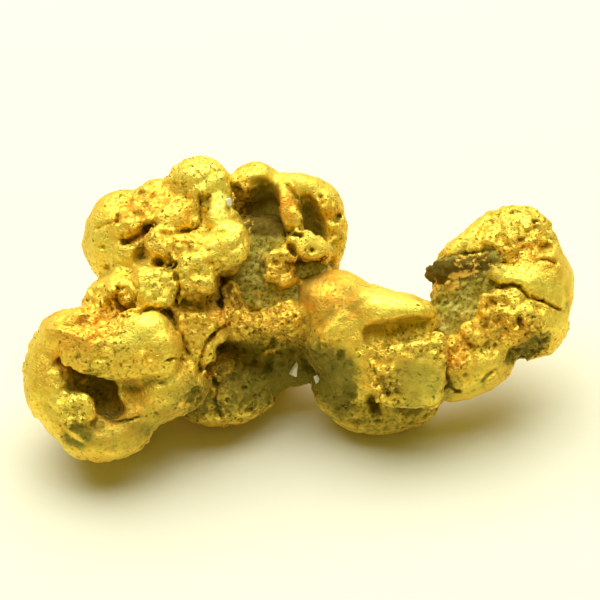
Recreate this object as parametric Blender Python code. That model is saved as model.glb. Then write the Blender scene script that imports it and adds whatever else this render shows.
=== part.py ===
"""A natural gold nugget with grey-green host rock left in two of its pockets.

The gold is one solid. Its lobes, ledges and straps are lumps fused into one skin, its hollows
and clefts are cut out of that skin, and stream wear rounds what is left.

Lumps and hollows are laid out in millimetres as the nugget is seen from its face:
u runs to the right, v runs up the face, and w comes out of it. LIE_ANGLE then lays the face
back, so that the nugget rests on its three low lobes with +Z up.
"""

import math
import random
from typing import NamedTuple

import bmesh
import bpy
from mathutils import Euler, Matrix, Vector, noise
from mathutils.bvhtree import BVHTree

# Driving dimensions, in millimetres and degrees.
NUGGET_LENGTH = 22.0  # left lobe to the elbow of the arm
DRAWN_LENGTH = 21.9  # the same length as the lumps below are drawn
LIE_ANGLE = 40.0  # how far the face leans back from upright
REST_FLAT = 0.15  # depth worn off the low lobes, which gives them flat feet
ROCK_GAP = 0.3  # clearance between the rock and the gold around it

# How finely the skin is made.
FUSE_VOXEL = 0.13
PIT_VOXEL = 0.07
WEAR_VOXEL = 0.12
GOLD_FACES = 9000
ROCK_FACES = 380

MM = 0.001
SIZE = NUGGET_LENGTH / DRAWN_LENGTH * MM


class Crumbs(NamedTuple):
    """A patch of crumbs: its middle, half-sizes and turn, the crumbs' size and their number."""

    at: tuple
    half: tuple
    turn: float
    size: float
    count: int


class Pit(NamedTuple):
    """A pit drilled into the face, or into the back: where, how wide and how deep."""

    u: float
    v: float
    radius: float
    depth: float
    back: bool = False


class Lump(NamedTuple):
    """A rounded body: its middle, half-sizes and turn in the face's u, v, w, and how blocky it is.

    A block of 0 is an ellipsoid, and a block near 1 is a box with round edges.
    """

    at: tuple
    half: tuple
    turn: tuple = (0, 0, 0)
    block: float = 0.0


LEFT_LOBE = (
    Lump((-7.6, -3.3, 0.05), (2.5, 2.7, 2.8)),  # body
    Lump((-9.85, -2.8, 1.4), (0.98, 1.95, 1.5), (0, 0, -6)),  # left rim
    Lump((-9.05, -4.6, 1.6), (1.1, 1.0, 1.3), (0, 0, -45)),  # toe
    Lump((-8.3, -5.15, 1.75), (0.85, 0.75, 1.2)),  # between toe and lower rim
    Lump((-7.5, -5.3, 1.7), (1.75, 0.95, 1.4), (0, 0, 12)),  # lower rim
    Lump((-8.9, -1.3, 1.9), (1.5, 0.95, 1.5), (0, 0, 16)),  # left end of the lip
    Lump((-7.5, -1.95, 2.5), (1.7, 0.95, 1.2), (14, 0, -8), 0.35),  # middle of the lip
    Lump((-6.1, -1.85, 2.6), (1.5, 0.95, 1.1), (12, 0, -8), 0.35),  # right end of the lip
    Lump((-6.0, -1.2, 2.8), (1.2, 0.85, 1.0), (0, 0, -12)),  # boss on the lip
    Lump((-5.3, -3.4, 1.2), (1.65, 1.3, 1.9), (0, 0, 14)),  # wall right of the hollow
    Lump((-6.2, -4.4, 1.4), (1.5, 0.8, 1.5), (0, 0, 24)),  # that wall's foot
)

NECK = (
    Lump((-7.5, -0.2, 0.2), (1.2, 1.1, 1.6)),  # rough saddle
    Lump((-7.15, 0.35, 1.0), (0.75, 0.75, 1.1), (0, 0, 20)),  # bump with a crater
    Lump((-5.72, 0.52, 1.65), (0.88, 0.76, 1.1), (0, 8, -4), 0.8),  # left block
    Lump((-4.1, 0.85, 1.8), (0.8, 0.85, 1.15), (-14, 0, 4), 0.7),  # right block
    Lump((-3.9, -0.8, 1.4), (1.05, 0.65, 1.0), (18, 0, -13), 0.6),  # wedge under the blocks
    Lump((-4.15, -1.6, 1.3), (0.6, 0.95, 1.0), (10, 0, 20), 0.4),  # wedge's lower point
    Lump((-5.2, -0.4, -0.3), (2.7, 2.0, 1.9)),  # what carries them
    Lump((-4.95, 0.35, 0.9), (1.75, 1.2, 1.5)),  # web between the blocks
    Lump((-4.6, -0.95, 1.0), (1.25, 1.2, 1.35)),  # web between wedge and boss
)

UPPER_MASS = (
    Lump((-7.05, 2.45, -0.9), (1.7, 1.95, 1.9)),  # outer lobe
    Lump((-5.8, 3.6, -1.0), (1.8, 1.2, 1.8), (0, 0, 24)),  # its shoulder
    Lump((-6.7, 3.0, 0.3), (0.9, 0.5, 0.9), (0, 0, 28), 0.3),  # flap over the cleft
    Lump((-6.9, 1.7, 0.2), (0.75, 0.6, 0.9), (0, 0, -10), 0.3),  # step under the cleft
    Lump((-4.05, 4.6, -0.2), (1.32, 1.15, 1.4)),  # knob
    Lump((-3.7, 4.1, 0.1), (1.05, 0.9, 1.4), (0, 0, -30)),  # knob's lit flank
    Lump((-4.75, 3.45, 0.4), (0.8, 0.75, 1.1), (0, 0, 22)),  # lobe under the knob
    Lump((-3.05, 3.4, 0.6), (0.62, 1.35, 1.2), (0, 0, 16)),  # strap
    Lump((-2.8, 2.0, 1.25), (0.8, 0.8, 1.1), (-14, 0, 14), 0.5),  # brow at the strap's end
    Lump((-3.7, 1.75, 1.3), (0.8, 0.7, 1.1), (0, 0, 8), 0.4),  # cheek beside the brow
    Lump((-4.9, 2.15, 1.0), (1.25, 0.55, 1.0), (0, 0, -20), 0.45),  # slab
    Lump((-4.8, 2.2, -1.3), (2.6, 2.3, 1.9)),  # what carries them
    Lump((-4.6, 2.5, 0.0), (2.1, 1.6, 1.4)),  # web between lobe, slab and strap
    Lump((-5.8, 1.5, 0.5), (1.0, 0.8, 1.1)),  # web between slab and left block
)

RING = (
    Lump((-1.85, 4.8, -1.0), (0.92, 0.75, 1.1)),  # left bump
    Lump((-0.1, 4.5, -1.1), (1.4, 0.62, 1.2), (0, 0, -6)),  # arch
    Lump((0.9, 3.95, -1.3), (0.95, 0.8, 1.3), (0, 0, -40)),  # arch's corner
    Lump((1.35, 3.0, -1.3), (0.5, 1.3, 1.2), (0, 0, 6)),  # right limb
    Lump((1.2, 1.95, -1.3), (0.5, 0.6, 1.0)),  # its foot
    Lump((-0.4, 3.75, -0.1), (0.42, 1.15, 0.9), (0, 0, 12), 0.4),  # pillar
    Lump((0.35, 2.05, 0.0), (0.95, 0.58, 0.9), (0, 0, -22), 0.2),  # lobe under the pillar
    Lump((-0.7, 1.25, 0.3), (0.55, 0.75, 0.8), (0, 0, 15), 0.4),  # rough ledge
    Lump((-0.5, 3.2, -2.2), (2.0, 1.9, 1.25)),  # back wall
    Lump((-0.8, 1.4, -2.2), (2.4, 1.8, 1.3)),  # back wall's foot
)

BRIDGE = (
    Lump((-1.1, -0.5, -1.0), (2.6, 1.7, 1.6)),  # core
    Lump((-1.5, -0.95, 0.5), (1.7, 0.5, 0.9), (0, 0, 8), 0.3),  # crumbly ledge
    Lump((-2.75, -0.2, 0.6), (0.42, 0.8, 0.8), (0, 0, 4), 0.4),  # crumbly post
    Lump((-1.0, -2.2, -1.7), (2.6, 1.4, 1.3)),  # underside
    Lump((-3.4, -3.6, -0.8), (2.1, 1.5, 1.7)),  # belly
    Lump((-2.2, -3.65, -1.1), (1.5, 1.0, 1.4), (0, 0, 14)),  # belly's right end
    Lump((-4.3, -3.3, 0.3), (1.0, 0.8, 0.8), (0, 0, -25), 0.2),  # knuckle on the belly
    Lump((-3.0, -4.3, 0.0), (1.2, 0.5, 0.8), (0, 0, 12), 0.2),  # ledge on the belly
)

MID_LOBE = (
    Lump((2.6, -1.5, -0.1), (2.5, 2.1, 2.1)),  # body
    Lump((1.5, -0.25, -0.2), (1.8, 1.42, 1.9), (0, 0, -14)),  # smooth shoulder
    Lump((3.65, -0.5, 0.55), (1.85, 0.88, 1.8), (0, 0, -12), 0.1),  # crest
    Lump((1.9, -0.95, 0.8), (1.5, 0.5, 1.2), (0, 0, 36), 0.1),  # ridge down from the crest
    Lump((4.35, -2.15, 1.1), (1.55, 0.6, 1.3), (0, 0, 6), 0.1),  # lip under the slot
    Lump((4.3, -2.85, 0.8), (1.5, 1.3, 1.55), (8, 0, -4), 0.35),  # cheek
    Lump((2.4, -2.9, 0.1), (1.5, 1.3, 1.6)),  # wall left of the cheek
    Lump((1.45, -3.5, -0.9), (0.95, 1.2, 1.4)),  # left leg
    Lump((3.25, -4.2, -0.9), (2.2, 1.2, 1.6), (0, 0, 4)),  # foot
    Lump((4.55, -4.2, -0.9), (1.1, 0.95, 1.2)),  # foot's right end
)

ARM = (
    Lump((6.7, -2.6, -0.2), (2.1, 1.35, 1.6), (0, 0, 22)),  # root
    Lump((9.05, -0.75, -0.4), (1.75, 1.65, 1.7)),  # elbow
    Lump((9.45, 0.7, -0.6), (1.6, 1.9, 1.7), (0, 0, 6)),  # outer bend
    Lump((8.8, 2.2, -1.0), (1.6, 1.65, 1.6), (0, 0, 30)),  # end of the arm
    Lump((7.65, 2.3, -1.0), (1.75, 1.05, 1.35), (0, 0, 43)),  # its inner edge
    Lump((6.75, 2.2, -1.0), (1.45, 0.55, 1.1), (0, 0, 42), 0.1),  # strip over the notch
    Lump((8.9, 0.75, 0.1), (1.6, 0.7, 1.15), (0, 0, -12)),  # smooth band over the cleft
    Lump((8.1, -0.7, 0.1), (1.2, 1.1, 1.2), (0, 0, 30), 0.2),  # rough middle
    Lump((7.1, -1.3, 0.4), (0.75, 0.7, 0.9)),  # round knob in the notch
    Lump((5.5, -1.5, -0.9), (0.9, 0.9, 1.0)),  # web between cheek and arm
)

BACK = (
    Lump((-5.0, 0.6, -2.6), (2.7, 2.4, 1.7), (0, 0, 30)),  # hump behind the neck
    Lump((-7.4, -2.4, -1.3), (1.9, 1.6, 1.5)),  # heel of the left lobe
    Lump((-2.2, -1.5, -3.25), (2.4, 1.9, 2.1), (0, 0, -12)),  # low hump behind the bridge
    Lump((-3.2, 3.4, -2.6), (1.5, 1.4, 1.2)),  # knuckle behind the knob
    Lump((-0.6, -0.3, -2.6), (2.0, 1.4, 1.2), (0, 0, -15)),  # fold across the bridge
    Lump((2.5, -1.0, -1.8), (2.0, 1.6, 1.4), (0, 0, 20)),  # hump behind the mid lobe
    Lump((6.6, -1.8, -1.6), (1.4, 1.0, 1.0), (0, 0, 30)),  # knuckle behind the arm's root
    Lump((8.9, 0.6, -2.2), (1.3, 1.9, 0.9), (0, 0, -8)),  # ridge down the arm's back
    Lump((7.0, -0.3, -2.0), (1.7, 1.5, 0.75)),  # shelf behind the notch's rock
    Lump((-0.6, 2.6, -3.1), (0.9, 1.2, 0.7), (0, 0, 24)),  # knuckle behind the ring
    Lump((-6.6, -0.9, -2.3), (1.1, 0.9, 0.9), (0, 0, -20)),  # knuckle behind the saddle
    Lump((4.1, -2.6, -1.7), (1.1, 0.8, 0.8), (0, 0, 10)),  # knuckle behind the cheek
)

HOLLOWS = (
    Lump((-8.5, -2.75, 2.4), (1.2, 0.6, 1.3), (24, 0, -20)),  # under the left lobe's lip
    Lump((-7.75, -3.5, 2.3), (0.72, 1.0, 1.35), (22, 0, 0)),  # its deep middle
    Lump((-7.3, -4.15, 2.7), (0.55, 0.5, 1.3), (0, 0, 10)),  # its right end
    Lump((-8.6, -3.75, 3.1), (0.95, 0.8, 1.4), (0, 0, 20)),  # pocket round the knob
    Lump((-5.95, 2.7, 1.1), (0.75, 0.16, 0.65), (0, 0, 40)),  # cleft in the outer lobe
    Lump((-6.3, 1.75, 1.2), (0.2, 0.2, 0.8)),  # hole beside the slab
    Lump((-3.2, 0.0, 2.3), (0.24, 0.5, 1.0), (0, 0, 6)),  # recess under the brow
    Lump((-2.6, 0.95, 2.2), (0.7, 0.2, 0.9), (0, 0, 12)),  # shadow under the brow
    Lump((-4.72, -1.0, 2.9), (0.1, 1.0, 0.75), (0, 0, 24)),  # cleft beside the boss
    Lump((-4.88, 0.6, 2.9), (0.07, 0.8, 0.6), (0, 0, -2)),  # cleft between the blocks
    Lump((-5.95, -0.42, 2.9), (1.1, 0.1, 0.8), (0, 0, 6)),  # cleft under the left block
    Lump((-2.62, 3.85, 0.2), (0.16, 0.5, 3.0)),  # slit between strap and ring
    Lump((-1.45, 3.7, 0.2), (0.72, 1.15, 1.15), (0, 0, 12)),  # left hollow of the ring
    Lump((0.5, 3.05, 0.0), (0.48, 1.2, 1.05), (0, 0, 22)),  # right hollow of the ring
    Lump((-1.7, 0.9, 1.0), (0.85, 1.5, 1.5)),  # pocket that holds the rock
    Lump((0.3, 1.15, 0.9), (0.8, 0.24, 1.0), (0, 0, 8)),  # gap over the smooth shoulder
    Lump((-1.5, -2.25, 1.0), (2.15, 0.75, 1.3), (18, 0, 2)),  # cave under the crumbly ledge
    Lump((-0.3, -3.6, 0.9), (1.2, 1.3, 1.9)),  # gap between the belly and the leg
    Lump((3.85, -1.25, 2.6), (1.45, 0.54, 1.15), (-10, 0, 8)),  # slot in the mid lobe
    Lump((2.85, -4.15, 1.4), (0.32, 0.55, 1.4), (0, 0, 20)),  # hole in the foot
    Lump((4.2, -4.35, 1.5), (1.2, 0.08, 0.8), (0, 0, 8)),  # crease between cheek and foot
    Lump((6.1, 0.15, 0.2), (1.3, 1.3, 1.4), (0, 0, -14)),  # notch of the arm
    Lump((8.9, 0.25, 1.5), (1.3, 0.09, 0.95), (0, 0, -20)),  # cleft across the bend
    Lump((8.0, -1.2, 2.0), (0.35, 0.4, 0.9)),  # pit in the rough middle
    Lump((5.85, -2.6, 2.0), (0.16, 0.9, 1.0), (0, 0, -8)),  # crease between cheek and arm
    Lump((-5.9, 2.9, -3.3), (0.25, 1.6, 1.1), (0, 0, 30)),  # fold down the upper mass, at the back
    Lump((-2.4, 0.9, -4.1), (0.3, 1.5, 1.4), (0, 0, -25)),  # fold beside the hump, at the back
    Lump((0.6, -1.6, -3.3), (0.3, 1.5, 1.3), (0, 0, -10)),  # fold between bridge and mid lobe
    Lump((-5.9, -2.9, -2.8), (0.3, 1.3, 1.4), (0, 0, 20)),  # fold between heel and belly
    Lump((9.6, -0.4, -2.9), (0.9, 0.22, 1.0), (0, 0, 30)),  # fold behind the elbow
)

KNOBS = (
    Lump((-8.7, -4.25, 2.4), (0.72, 0.74, 0.8)),  # knob in the left lobe's hollow
    Lump((-8.75, -5.0, 1.9), (0.65, 0.5, 0.7)),  # that knob's foot
    Lump((-9.35, -3.2, 2.2), (0.35, 0.75, 0.6), (0, 0, -14), 0.3),  # shelf at the hollow's left
    Lump((6.85, -1.35, 0.9), (0.46, 0.44, 0.6)),  # round knob in the notch
)

CRUMBS = (
    Crumbs((-1.6, -0.95, 1.1), (1.6, 0.4, 0.3), 8, 0.3, 12),  # on the bridge's ledge
    Crumbs((-2.75, -0.1, 1.1), (0.3, 0.75, 0.2), 4, 0.27, 5),  # on the post
    Crumbs((-0.7, 1.2, 0.8), (0.45, 0.65, 0.3), 15, 0.27, 6),  # on the rough ledge
    Crumbs((7.9, -0.3, 0.9), (0.9, 0.8, 0.3), 30, 0.3, 10),  # in the bend of the arm
    Crumbs((-9.5, -3.1, 2.7), (0.25, 0.7, 0.2), -14, 0.26, 6),  # on the shelf in the hollow
    Crumbs((-7.4, -0.1, 1.2), (0.8, 0.5, 0.3), 20, 0.3, 6),  # on the saddle
)

PITS = (
    Pit(9.85, 2.1, 0.26, 0.5),  # arm
    Pit(7.3, 3.0, 0.2, 0.4),
    Pit(7.65, 3.1, 0.18, 0.35),
    Pit(9.2, 2.95, 0.2, 0.35),
    Pit(8.9, 1.6, 0.16, 0.3),
    Pit(8.3, 2.4, 0.16, 0.3),
    Pit(8.5, -0.9, 0.24, 0.6),
    Pit(7.4, -1.55, 0.14, 0.3),
    Pit(-0.35, 2.1, 0.26, 0.6),  # lobe under the ring's pillar
    Pit(0.8, 2.1, 0.14, 0.3),
    Pit(-6.1, 3.9, 0.24, 0.4),  # shoulder of the upper mass
    Pit(-7.6, 3.0, 0.2, 0.35),
    Pit(-7.0, 0.3, 0.4, 0.35),  # crater in the neck
    Pit(-3.6, 1.5, 0.18, 0.4),
    Pit(3.0, -2.9, 0.22, 0.5),  # left of the cheek
    Pit(3.4, -3.4, 0.24, 0.5),
    Pit(1.9, -3.5, 0.2, 0.4),
    Pit(-8.65, -4.2, 0.24, 0.35),  # knob in the hollow
    Pit(-6.0, 1.5, 0.5, 0.6, True),  # back
    Pit(-3.0, -0.5, 0.35, 0.7, True),
    Pit(-7.8, -3.2, 0.45, 0.8, True),
    Pit(2.0, 0.2, 0.3, 0.5, True),
    Pit(3.6, -2.2, 0.5, 0.8, True),
    Pit(8.4, 1.9, 0.35, 0.6, True),
    Pit(9.2, -0.8, 0.28, 0.5, True),
)

POCKET_ROCK = (
    Lump((-1.75, 1.3, -0.3), (1.3, 1.9, 1.1), (0, 0, 6), 0.3),
    Lump((-1.2, 0.3, -0.2), (1.2, 0.9, 0.9), (0, 0, 0), 0.3),
    Lump((-1.5, 2.6, -1.05), (0.95, 0.8, 0.7), (0, 0, 8), 0.2),  # its top, deep in the ring
    Lump((0.3, 1.2, -0.4), (0.9, 0.36, 0.8), (0, 0, 8), 0.3),  # patch over the smooth shoulder
)

NOTCH_ROCK = (
    Lump((7.2, 0.3, -0.6), (1.8, 1.35, 1.0), (0, 0, -10), 0.4),
    Lump((6.4, -0.9, -0.3), (1.1, 1.0, 0.8), (0, 0, 10), 0.3),
    Lump((6.75, 1.2, -0.3), (1.3, 0.5, 0.8), (0, 0, 12), 0.5),  # brown ledge
    Lump((5.6, 1.15, -0.5), (0.5, 0.3, 0.4), (0, 0, 25), 0.3),  # spur
)


def clear_scene():
    """Empties the scene of what Blender opens with."""
    for obj in list(bpy.data.objects):
        bpy.data.objects.remove(obj, do_unlink=True)


def add_object(name, mesh):
    """Puts a mesh in the scene under its name."""
    obj = bpy.data.objects.new(name, mesh)
    bpy.context.scene.collection.objects.link(obj)
    return obj


def superellipsoid(point, block):
    """Moves a point of the unit sphere outwards towards a box with round edges."""
    power = 2 + 6 * block
    reach = sum(abs(c) ** power for c in point) ** (1 / power)
    return point / reach


def add_lump(bm, lump, grow=0.0):
    """Adds one lump to a bmesh, its half-sizes grown by `grow` millimetres."""
    made = bmesh.ops.create_icosphere(bm, subdivisions=4, radius=1.0)["verts"]
    half = Matrix.Diagonal(Vector([h + grow for h in lump.half]))
    turn = Euler([math.radians(a) for a in lump.turn]).to_matrix()
    for vert in made:
        vert.co = turn @ (half @ superellipsoid(vert.co, lump.block)) + Vector(lump.at)


def lay_back():
    """The turn from the upright face to how the nugget lies."""
    return Matrix.Rotation(math.radians(90 - LIE_ANGLE), 4, "X")


def lumps_object(name, lumps, grow=0.0):
    """One object that holds these lumps, laid back by LIE_ANGLE and at real size."""
    bm = bmesh.new()
    for lump in lumps:
        add_lump(bm, lump, grow)
    bm.transform(Matrix.Scale(SIZE, 4) @ lay_back())
    mesh = bpy.data.meshes.new(name)
    bm.to_mesh(mesh)
    bm.free()
    return add_object(name, mesh)


def crumb_lumps(patch, seed):
    """The small lumps of a patch of crumbs, scattered over it the same way each time."""
    dice = random.Random(seed)
    turn = Matrix.Rotation(math.radians(patch.turn), 3, "Z")
    made = []
    for _ in range(patch.count):
        spot = turn @ Vector([dice.uniform(-half, half) for half in patch.half])
        size = [patch.size * dice.uniform(0.65, 1.15) for _ in range(3)]
        angles = [dice.uniform(-40, 40) for _ in range(3)]
        made.append(Lump(tuple(spot + Vector(patch.at)), tuple(size), tuple(angles), 0.4))
    return tuple(made)


def pit_lumps(skin):
    """The cutters of the pits, each where a line square to the face or the back meets the skin."""
    lie = lay_back().to_3x3()
    points = [vert.co for vert in skin.data.vertices]
    faces = [face.vertices[:] for face in skin.data.polygons]
    tree = BVHTree.FromPolygons(points, faces)
    made = []
    for pit in PITS:
        out = Vector((0, 0, -1 if pit.back else 1))
        start = (Vector((pit.u, pit.v, 0)) + out * DRAWN_LENGTH) * SIZE
        hit = tree.ray_cast(lie @ start, lie @ -out)[0]
        if hit is not None:
            at = lie.inverted() @ hit / SIZE
            half = (pit.radius, pit.radius * 0.8, pit.depth)
            made.append(Lump(tuple(at), half, (0, 0, 60 * pit.u), 0.2))
    return tuple(made)


def settle(obj):
    """Applies an object's modifiers to its mesh."""
    graph = bpy.context.evaluated_depsgraph_get()
    made = bpy.data.meshes.new_from_object(obj.evaluated_get(graph))
    obj.modifiers.clear()
    obj.data = made


def fuse(obj, voxel):
    """Fuses overlapping lumps into one skin."""
    remesh = obj.modifiers.new("Fuse", "REMESH")
    remesh.mode = "VOXEL"
    remesh.voxel_size = voxel * MM
    settle(obj)


def boolean(obj, other, operation):
    """Joins another solid to this one or cuts it out, and removes the other."""
    step = obj.modifiers.new(operation.title(), "BOOLEAN")
    step.operation = operation
    step.object = other
    settle(obj)
    bpy.data.objects.remove(other, do_unlink=True)


def wear(obj, repeats):
    """Rounds edges as stream wear does."""
    smooth = obj.modifiers.new("Wear", "SMOOTH")
    smooth.factor = 0.5
    smooth.iterations = repeats
    settle(obj)


def joined(mesh, other):
    """A mesh and an object's mesh as one, still overlapping. The object is removed."""
    bm = bmesh.new()
    bm.from_mesh(mesh)
    bm.from_mesh(other.data)
    bpy.data.objects.remove(other, do_unlink=True)
    made = bpy.data.meshes.new(mesh.name)
    bm.to_mesh(made)
    bm.free()
    return made


def ruffle(obj, scale, depth):
    """Moves the skin in and out by `depth` millimetres in waves about `scale` millimetres long."""
    for vert, normal in zip(obj.data.vertices, [n.vector.copy() for n in obj.data.vertex_normals]):
        vert.co += normal * noise.noise(vert.co / (scale * MM)) * depth * MM


def thin_out(obj, faces):
    """Collapses the skin to about this many triangles."""
    mesh = obj.data
    mesh.calc_loop_triangles()
    if len(mesh.loop_triangles) > faces:
        collapse = obj.modifiers.new("Thin out", "DECIMATE")
        collapse.ratio = faces / len(mesh.loop_triangles)
        settle(obj)


def low_point(obj):
    """The height of the lowest point."""
    return min(vert.co.z for vert in obj.data.vertices)


def cut_feet(obj, depth):
    """Wears the lowest lobes flat, `depth` millimetres up from the lowest point."""
    floor = low_point(obj) + depth * MM
    bm = bmesh.new()
    bm.from_mesh(obj.data)
    whole = bm.verts[:] + bm.edges[:] + bm.faces[:]
    bmesh.ops.bisect_plane(bm, geom=whole, plane_co=(0, 0, floor), plane_no=(0, 0, 1), clear_inner=True)
    bmesh.ops.holes_fill(bm, edges=[edge for edge in bm.edges if edge.is_boundary])
    bmesh.ops.triangulate(bm, faces=bm.faces[:])
    bmesh.ops.recalc_face_normals(bm, faces=bm.faces[:])
    bm.to_mesh(obj.data)
    bm.free()


def finish_material(name, colour, roughness, metallic):
    """A Principled material for one substance."""
    material = bpy.data.materials.new(name)
    material.use_nodes = True
    shader = material.node_tree.nodes["Principled BSDF"]
    shader.inputs["Base Color"].default_value = (*colour, 1.0)
    shader.inputs["Roughness"].default_value = roughness
    shader.inputs["Metallic"].default_value = metallic
    return material


def make_gold():
    """The nugget's one gold solid."""
    gold = lumps_object("nugget", LEFT_LOBE + NECK + UPPER_MASS + RING + BRIDGE + MID_LOBE + ARM + BACK)
    fuse(gold, FUSE_VOXEL)
    hollows = lumps_object("hollows", HOLLOWS)
    fuse(hollows, FUSE_VOXEL)
    boolean(gold, hollows, "DIFFERENCE")
    crumbs = sum((crumb_lumps(patch, seed) for seed, patch in enumerate(CRUMBS)), ())
    gold.data = joined(gold.data, lumps_object("knobs", KNOBS + crumbs))
    fuse(gold, FUSE_VOXEL)
    pits = lumps_object("pits", pit_lumps(gold))
    fuse(pits, PIT_VOXEL)
    boolean(gold, pits, "DIFFERENCE")
    fuse(gold, WEAR_VOXEL)
    wear(gold, 1)
    ruffle(gold, 1.3, 0.16)
    ruffle(gold, 0.5, 0.07)
    thin_out(gold, GOLD_FACES)
    cut_feet(gold, REST_FLAT)
    return gold


def make_rock(name, lumps, gold):
    """Host rock in a pocket: the lumps, less the gold around them and a clearance."""
    rock = lumps_object(name, lumps)
    fuse(rock, WEAR_VOXEL)
    ruffle(rock, 0.6, 0.2)
    around = add_object("around", gold.data.copy())
    for vert, normal in zip(around.data.vertices, [n.vector.copy() for n in gold.data.vertex_normals]):
        vert.co += normal * ROCK_GAP * MM
    fuse(around, WEAR_VOXEL)
    boolean(rock, around, "DIFFERENCE")
    fuse(rock, WEAR_VOXEL)
    thin_out(rock, ROCK_FACES)
    return rock


def main():
    clear_scene()
    gold = make_gold()
    nodes = {gold: finish_material("native gold", (0.85, 0.58, 0.12), 0.38, 1.0)}
    stone = finish_material("green-grey host rock", (0.22, 0.23, 0.12), 0.8, 0.0)
    nodes[make_rock("host_rock_pocket", POCKET_ROCK, gold)] = stone
    nodes[make_rock("host_rock_notch", NOTCH_ROCK, gold)] = stone
    low = [min(vert.co[axis] for vert in gold.data.vertices) for axis in range(3)]
    high = [max(vert.co[axis] for vert in gold.data.vertices) for axis in range(3)]
    base = Vector(((low[0] + high[0]) / 2, (low[1] + high[1]) / 2, low[2]))
    for obj, material in nodes.items():
        obj.location = -base
        obj.data.materials.clear()
        obj.data.materials.append(material)
        obj.data.shade_smooth()


if __name__ == "__main__":
    main()
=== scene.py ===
"""Dresses the gold nugget: its fine skin, the rock left in its pockets, the floor and the light.

The nugget's face is drawn in millimetres, as the camera sees it: u runs right, v runs up and w
comes out of the face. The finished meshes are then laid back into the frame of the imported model.
"""

from __future__ import annotations

import functools
import logging
import math
import random
from dataclasses import dataclass
from enum import Enum
from typing import Callable, NamedTuple, Sequence

import bmesh
import bpy
import numpy as np
from mathutils import Euler, Matrix, Vector, noise
from mathutils.bvhtree import BVHTree

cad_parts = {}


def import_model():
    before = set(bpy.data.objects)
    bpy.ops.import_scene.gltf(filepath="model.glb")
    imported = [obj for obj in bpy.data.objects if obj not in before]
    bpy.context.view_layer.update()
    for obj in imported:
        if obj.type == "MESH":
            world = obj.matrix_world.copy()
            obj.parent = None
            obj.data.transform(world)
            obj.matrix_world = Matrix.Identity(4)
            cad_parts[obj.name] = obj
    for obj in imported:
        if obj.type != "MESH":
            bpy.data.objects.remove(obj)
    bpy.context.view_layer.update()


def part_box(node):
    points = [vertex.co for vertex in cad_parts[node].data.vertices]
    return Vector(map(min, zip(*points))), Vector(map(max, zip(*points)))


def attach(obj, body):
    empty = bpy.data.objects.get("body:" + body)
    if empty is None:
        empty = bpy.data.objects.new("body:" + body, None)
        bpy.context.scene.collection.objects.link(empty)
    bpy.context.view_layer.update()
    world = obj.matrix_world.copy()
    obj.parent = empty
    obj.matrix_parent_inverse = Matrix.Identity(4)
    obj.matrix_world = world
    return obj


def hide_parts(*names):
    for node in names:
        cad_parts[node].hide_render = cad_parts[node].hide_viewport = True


LOG = logging.getLogger("nugget")

# The nugget as drawn, in millimetres and degrees.
DRAWN_BOX_LENGTH = 21.955  # the drawn nugget's length along X
ORIGIN_IN_BOX = (0.4939, 0.5231, 0.5233)  # where the face's origin stands in the nugget's box
LIE_ANGLE = 40.0  # how far the face leans back from upright
EYE = 80.0  # how far in front of the face's origin the camera stands

# How finely the meshes are made, in millimetres.
BODY_VOXEL = 0.12
SKIN_VOXEL = 0.085  # fine enough for the crumbs
SKIN_TRIANGLES = 190_000
ROCK_VOXEL = 0.08
BALL_LEVELS = ((1.2, 6), (0.5, 5), (0.25, 4), (0.0, 3))  # a ball's splits, by the half-size that it is above
ROUND_POWER = 2  # a lump's surface is |x|^p + |y|^p + |z|^p = 1, with this power for a ball
BLOCK_POWER = 6  # what a full block adds to that power

# How the skin is looked at, marked and painted.
SIGHT_LIFT = 0.03  # how far off the skin a line to the eye starts
FACING_GAIN = 4  # how soon a slope of the skin counts as facing the eye
SHELTER_LIFT = 0.04  # how far off the skin a line that feels for shelter starts
SHELTER_LEAN = 1.02  # just over 1, so that every such line leaves the skin
SHELTER_SEED = 7
STROKE_WAVER = 0.35  # how much a stroke's half-width wavers
STROKE_WAVES = 9  # how many waves of that noise fit along a stroke
STROKE_TAPER = 8  # how fast a stroke deepens from its ends
STROKE_END = 0.25  # the share of its depth that is left at its very end
CRACK_RIM, CRACK_POWER = 1.25, 0.7  # where a crack ends, in half-widths, and how steep its sides are
DENT_RIM, DENT_POWER = 1.35, 0.6  # the same for a pit
SIGHT_SHARE, NORMAL_SHARE = 0.8, 0.2  # how a stroke's depth is split between w and the skin's normal
ZONE_RIM, ZONE_POWER = 1.6, 1.5  # where a zone has faded out, in half-sizes, and how softly it fades

# What the broken surfaces are made of.
SHIFTS = (Vector((0, 0, 0)), Vector((31.4, 17.2, 5.9)), Vector((-12.7, 43.1, 28.6)))  # apart in a noise
CELL_STEP = 7.3  # how far apart in the noise two cells' tilts are read
GRAIN_GAIN = 2.0  # how sharp the gaps between rock grains are
BILLOW_HEIGHT = 1.6
CREASE_HEIGHT = 0.8
CREASE_RATE = 2.3  # how much finer the creases are than the billows

# Sockets of Blender's colour mix, which have to be given by number.
MIX_SHARE, MIX_UNDER, MIX_OVER = 0, 6, 7
MIX_COLOUR = 2

# A place, three half-sizes, or a turn about the three axes in degrees.
Triple = tuple[float, float, float]


class Lump(NamedTuple):
    """A rounded body: its middle, half-sizes and turn on the face, and how blocky it is."""

    at: Triple
    half: Triple
    turn: Triple = (0, 0, 0)
    block: float = 0.0


class Boss(NamedTuple):
    """A fine body stuck to the skin at a place as seen, with how far its middle stands out."""

    u: float
    v: float
    half: Triple
    turn: float
    block: float
    out: float


class Crumbs(NamedTuple):
    """A patch of crumbs stuck to the skin: where, how wide, their turn, size and number."""

    u: float
    v: float
    half_u: float
    half_v: float
    turn: float
    size: float
    count: int


class Mark(Enum):
    """What a stroke does to the skin."""

    CRACK = "a narrow cut with steep sides"
    FOLD = "a wide soft furrow"
    RIDGE = "a raised bead"


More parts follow.
